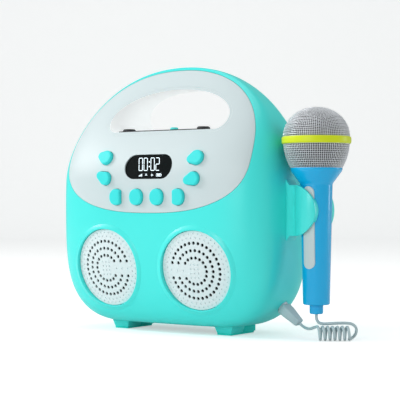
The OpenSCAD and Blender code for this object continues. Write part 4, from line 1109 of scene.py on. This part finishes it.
def cone_grid(rows=11, around=92):
    points, faces = [], []
    for i in range(rows + 1):
        z = NECK_Z + (HEAD_Z - BAND_H / 2 - NECK_Z) * i / rows
        for k in range(around):
            a = 2 * math.pi * k / around
            r = cone_radius(z) - 0.5 + WEAVE * (1 if (i + k) % 2 else -1)
            points.append((MIC_X + r * math.cos(a), r * math.sin(a), z))
            if i < rows:
                low, high = i * around, (i + 1) * around
                faces.append([low + k, low + (k + 1) % around, high + (k + 1) % around, high + k])
    return points, faces


def wire_tree():
    """Round wire along every edge of a mesh."""
    tree, given, made = node_tree("woven wire", [
        ("Wire radius", "NodeSocketFloat", 0.0004), ("Sides", "NodeSocketInt", 6),
        ("Material", "NodeSocketMaterial", None)])
    lines = node(tree, "GeometryNodeMeshToCurve", [(0, given.outputs["Geometry"])])
    ring = node(tree, "GeometryNodeCurvePrimitiveCircle", [
        ("Resolution", given.outputs["Sides"]), ("Radius", given.outputs["Wire radius"])])
    wire = node(tree, "GeometryNodeCurveToMesh", [(0, lines.outputs[0]), (1, ring.outputs[0])])
    closing(tree, wire.outputs[0], given, made)
    return tree


WIRE = wire_tree()


def woven(name, grid, replaced):
    points, faces = grid
    mesh = bpy.data.meshes.new(name)
    mesh.from_pydata([place(*p) for p in points], [], faces)
    wire = grown(mesh, WIRE, {"Wire radius": WIRE_R * MM, "Sides": 6, "Material": FINISHES["mesh"]})
    dress(name, wire, "mesh", "microphone", replaced, sharp=None)
    print(name, len(wire.polygons), "faces")


woven("mic_dome_wire", dome_grid(), ["mic_grille_upper"])
woven("mic_cone_wire", cone_grid(), ["mic_grille_lower"])
FOAM_LOW, FOAM_RISE = NECK_Z + 0.2, 19
FOAM_DOME_Z, FOAM_TOP = 163, 22.4
liner_profile = [(0.1, FOAM_LOW)]
for i in range(9):
    up = FOAM_RISE * i / 8
    liner_profile.append((cone_radius(NECK_Z + up) - 1.5, FOAM_LOW + up))
for i in range(12):
    a = math.pi / 2 * i / 12
    liner_profile.append(((HEAD_R - 1.6) * math.cos(a), FOAM_DOME_Z + FOAM_TOP * math.sin(a)))
liner_profile.append((0.1, FOAM_DOME_Z + FOAM_TOP))
dress("mic_foam", turned(liner_profile, 64), "cone_paper", "microphone")


# %% [markdown]
# Many CAD pieces already have their true shape and only lack the tiny round on each edge that
# every moulded or machined part has. A copy is merged, given that round, and stands for them.

# %% Softened copies of CAD pieces
ROUND_SEGMENTS = 3
ROUND_FROM = math.radians(40)


def softened(node_name, width, body):
    mesh = frame["nodes"][node_name].data.copy()
    merge = bmesh.new()
    merge.from_mesh(mesh)
    bmesh.ops.remove_doubles(merge, verts=merge.verts, dist=1e-6)
    bmesh.ops.dissolve_limit(merge, angle_limit=math.radians(1), verts=merge.verts, edges=merge.edges)
    merge.to_mesh(mesh)
    merge.free()
    piece = linked(node_name, mesh)
    bevel = piece.modifiers.new("round", "BEVEL")
    bevel.width = width * MM
    bevel.segments = ROUND_SEGMENTS
    bevel.limit_method = "ANGLE"
    bevel.angle_limit = ROUND_FROM
    bevel.harden_normals = False
    result = settled(piece)
    bpy.data.objects.remove(piece)
    dress(node_name + "_soft", result, slot_of[node_name], body, [node_name], sharp=35)


SOFTENED = [("mic_holder", 1.0, "body"), ("moulded_feet", 1.2, "body"), ("rubber_feet", 0.4, "body"),
            ("plug_body", 0.9, "body"), ("mic_jack", 0.4, "body"), ("door_button", 0.5, "door_release"),
            ("volume_knob", 0.15, "volume_knob"), ("echo_knob", 0.15, "echo_knob"),
            ("mic_switch_plate", 0.25, "microphone"), ("mic_switch", 0.4, "mic_switch"),
            ("door_hinge_bracket", 0.4, "body"), ("door_hinge_leaf", 0.3, "disc_door")]
for node_name, width, body in SOFTENED:
    softened(node_name, width, body)
print("softened copies:", len(SOFTENED))

# %% [markdown]
# The display is a dark window with white figures. A seven-segment digit is seven slim bars
# with pointed ends, so the digits are drawn from that rule and glow softly.

# %% Digits on the display
SEGMENTS = {"0": "abcdef", "2": "abged"}
DIGIT_W, DIGIT_H, BAR = 3.6, 10.8, 0.56
DIGIT_X = (-10.8, -5.6, 1.6, 6.8)
DIGIT_RISE = 2.2
SMALL_Z = -9.4
UPRIGHT = 0.18
WINDOW_SINK = 1.4
BAR_LOW, BAR_HIGH = -0.2, 0.04


def bar_outline(x0, z0, x1, z1):
    """One segment: a bar with pointed ends."""
    along = Vector((x1 - x0, z1 - z0)).normalized()
    across = Vector((-along.y, along.x)) * BAR / 2
    tip = along * BAR / 2
    a, b = Vector((x0, z0)) + tip * 0.3, Vector((x1, z1)) - tip * 0.3
    return [a, a + tip + across, b - tip + across, b, b - tip - across, a + tip - across]


def digit_bars(character, x):
    left, right, top, middle, low = x, x + DIGIT_W, DIGIT_H / 2, 0, -DIGIT_H / 2
    ends = {"a": (left, top, right, top), "b": (right, top, right, middle), "c": (right, middle, right, low),
            "d": (left, low, right, low), "e": (left, middle, left, low), "f": (left, top, left, middle),
            "g": (left, middle, right, middle)}
    return [bar_outline(*ends[s]) for s in SEGMENTS[character]]


def box_outline(x, z, w, h):
    return [Vector((x - w / 2, z - h / 2)), Vector((x + w / 2, z - h / 2)),
            Vector((x + w / 2, z + h / 2)), Vector((x - w / 2, z + h / 2))]


def tall_outline(x, h):
    return box_outline(x, SMALL_Z, 0.5, h)


glow = bpy.data.materials.new("display light")
glow.use_nodes = True
glow_shader = glow.node_tree.nodes["Principled BSDF"]
glow_shader.inputs["Base Color"].default_value = srgb(230, 244, 250)
glow_shader.inputs["Roughness"].default_value = 0.5
glow_shader.inputs["Emission Color"].default_value = srgb(226, 242, 250)
glow_shader.inputs["Emission Strength"].default_value = 0.9
bars = []
for character, x in zip("0002", DIGIT_X):
    bars += digit_bars(character, x)
bars += [box_outline(-0.1, 2, 1.0, 1.0), box_outline(-0.1, -2, 1.0, 1.0)]
bars += [box_outline(8.6 + 1.1 * i, SMALL_Z, 0.7, 1.4) for i in range(3)]
bars += [box_outline(9.7, SMALL_Z + 1.15, 4.4, 0.3), box_outline(9.7, SMALL_Z - 1.15, 4.4, 0.3),
         box_outline(7.4, SMALL_Z, 0.3, 2.6), box_outline(12.0, SMALL_Z, 0.3, 2.6),
         tall_outline(12.5, 1.0)]
bars += [box_outline(-10.4 + 1.3 * i, SMALL_Z - 0.6 + 0.3 * i, 0.7, 1.0 + 0.6 * i) for i in range(3)]
bars += [box_outline(-3.2, SMALL_Z, 2.2, 0.4), box_outline(-3.2, SMALL_Z + 0.9, 1.4, 0.4),
         tall_outline(2.4, 2.0), tall_outline(3.6, 1.3)]


def figure_ring(bar, height):
    return on_front(window_spot, [(p.x - UPRIGHT * p.y, p.y + DIGIT_RISE, height - WINDOW_SINK)
                                  for p in bar])


figures = joined("figures", [rings_mesh("bar", [figure_ring(bar, h) for h in (BAR_LOW, BAR_HIGH)])
                             for bar in bars])
figures.materials.append(glow)
dress("display_figures", figures, "lcd")
print("display bars:", len(bars))

# %% [markdown]
# The screws come from points too. Each screw head is a short cylinder with a
# cross recess cut into it, placed at the bottom of its well.

# %% Screw heads
CROSS_SPAN = 1.3
CROSS_LIFT = 0.001


def screw_tree():
    tree, given, made = node_tree("screw heads", [
        ("Head radius", "NodeSocketFloat", 0.0028), ("Head height", "NodeSocketFloat", 0.002),
        ("Slot width", "NodeSocketFloat", 0.0008), ("Material", "NodeSocketMaterial", None)])
    head = node(tree, "GeometryNodeMeshCylinder", [
        ("Vertices", 32), ("Radius", given.outputs["Head radius"]), ("Depth", given.outputs["Head height"])])
    bars_of_cross = []
    for order in (0, 1):
        size = node(tree, "ShaderNodeCombineXYZ")
        long_side = node(tree, "ShaderNodeMath", [(0, given.outputs["Head radius"]), (1, CROSS_SPAN)],
                         operation="MULTIPLY")
        tree.links.new(long_side.outputs[0], size.inputs[order])
        tree.links.new(given.outputs["Slot width"], size.inputs[1 - order])
        tree.links.new(given.outputs["Head height"], size.inputs[2])
        cube = node(tree, "GeometryNodeMeshCube", [("Size", size.outputs[0])])
        moved = node(tree, "GeometryNodeTransform", [
            (0, cube.outputs["Mesh"]), ("Translation", (0, 0, CROSS_LIFT))])
        bars_of_cross.append(moved.outputs[0])
    cross = node(tree, "GeometryNodeJoinGeometry")
    for bar in bars_of_cross:
        tree.links.new(bar, cross.inputs[0])
    cut = node(tree, "GeometryNodeMeshBoolean", [
        ("Mesh 1", head.outputs["Mesh"]), ("Mesh 2", cross.outputs[0])], operation="DIFFERENCE")
    copies = node(tree, "GeometryNodeInstanceOnPoints", [
        ("Points", given.outputs["Geometry"]), ("Instance", cut.outputs[0]),
        ("Rotation", (-math.pi / 2, 0, 0))])
    closing(tree, copies.outputs[0], given, made)
    return tree


SCREW_Y = 15.2
heads = grown(points_mesh("screws", [(x, SCREW_Y, z) for x, z in SCREWS]), screw_tree(), {
    "Head radius": 2.8 * MM, "Head height": 2 * MM, "Slot width": 0.8 * MM, "Material": FINISHES["steel"]})
dress("screw_heads", heads, "steel")
print("screw heads:", len(SCREWS))

# %% [markdown]
# The lead is a real cord: one open curve with a round section.

# %% Lead
lead_data = bpy.data.curves.new("lead", "CURVE")
lead_data.dimensions = "3D"
lead_data.bevel_depth = CORD / 2 * MM
lead_data.bevel_resolution = 4
lead_data.use_fill_caps = True
spline = lead_data.splines.new("POLY")
spline.points.add(len(lead_line) - 1)
for point, spot in zip(spline.points, lead_line):
    point.co = (*place(*spot), 1)
spline.use_smooth = True
lead_data.materials.append(FINISHES["lead"])
lead = linked("lead", lead_data)
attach(lead, "body")
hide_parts("cord_lead_plug", "cord_coil", "cord_lead_mic")

# %% [markdown]
# A plain pale studio: a floor that meets the backdrop in one sweep, far enough behind for a look
# from the rear. A soft light stands on the left, a weaker one in front, a wide one above, and a
# strip behind on the right draws a bright edge.

# %% Studio
PAPER_LIFT = 0.45
studio = bpy.data.materials.new("studio paper")
studio.use_nodes = True
paper_shader = studio.node_tree.nodes["Principled BSDF"]
paper_shader.inputs["Base Color"].default_value = srgb(240, 240, 240)
paper_shader.inputs["Roughness"].default_value = 0.9
paper_shader.inputs["Emission Color"].default_value = (1, 1, 1, 1)
seen_paper = studio.node_tree.nodes.new("ShaderNodeLightPath")
lift = math_node(studio.node_tree, "MULTIPLY", seen_paper.outputs["Is Camera Ray"], PAPER_LIFT)
studio.node_tree.links.new(lift, paper_shader.inputs["Emission Strength"])
FLOOR_NEAR, FLOOR_FAR, HALF_ACROSS, WALL_TOP = -3.0, 2.6, 4, 3.0
SWEEP_R = 0.4
sweep = [(FLOOR_NEAR, 0.0)]
for i in range(13):
    a = math.pi / 2 * i / 12
    sweep.append((FLOOR_FAR + SWEEP_R * math.sin(a), SWEEP_R * (1 - math.cos(a))))
sweep.append((FLOOR_FAR + SWEEP_R, WALL_TOP))
backdrop_mesh = bpy.data.meshes.new("backdrop")
backdrop_mesh.from_pydata([(x, y, z) for x in (-HALF_ACROSS, HALF_ACROSS) for y, z in sweep], [],
                          [(i, i + len(sweep), i + len(sweep) + 1, i + 1) for i in range(len(sweep) - 1)])
backdrop_mesh.shade_smooth()
backdrop_mesh.materials.append(studio)
backdrop = linked("backdrop", backdrop_mesh)
backdrop.rotation_euler = (0, 0, VIEW_TURN)

# %% Air and lamps
world = bpy.data.worlds.new("studio air")
world.use_nodes = True
air = world.node_tree
for old in list(air.nodes):
    air.nodes.remove(old)
light_path = air.nodes.new("ShaderNodeLightPath")
soft = air.nodes.new("ShaderNodeBackground")
soft.inputs["Color"].default_value = (0.95, 1, 1, 1)
soft.inputs["Strength"].default_value = 0.42
paper = air.nodes.new("ShaderNodeBackground")
paper.inputs["Strength"].default_value = 1.0
pick = air.nodes.new("ShaderNodeMixShader")
seen = air.nodes.new("ShaderNodeMath")
seen.operation = "MAXIMUM"
air.links.new(light_path.outputs["Is Camera Ray"], seen.inputs[0])
air.links.new(light_path.outputs["Is Transmission Ray"], seen.inputs[1])
air.links.new(seen.outputs[0], pick.inputs[0])
air.links.new(soft.outputs[0], pick.inputs[1])
air.links.new(paper.outputs[0], pick.inputs[2])
air.links.new(pick.outputs[0], air.nodes.new("ShaderNodeOutputWorld").inputs[0])
bpy.context.scene.world = world


AIM = (0.0, 0.0, 0.11)


def soft_light(name, spot, size, power_w):
    data = bpy.data.lights.new(name, "AREA")
    data.shape = "RECTANGLE"
    data.size, data.size_y = size
    data.energy = power_w
    lamp = linked(name, data)
    lamp.location = spot
    lamp.rotation_euler = (Vector(AIM) - Vector(spot)).to_track_quat("-Z", "Y").to_euler()


soft_light("key", (-1.5, -0.8, 1.0), (0.7, 0.7), 17)
soft_light("fill", (0.1, -1.5, 0.5), (0.5, 0.5), 5.5)
soft_light("edge", (0.95, 0.9, 0.35), (0.2, 0.7), 2.5)
soft_light("top", (0.0, 0.1, 1.5), (1.2, 0.8), 4.5)
bpy.context.scene.view_settings.view_transform = "Standard"
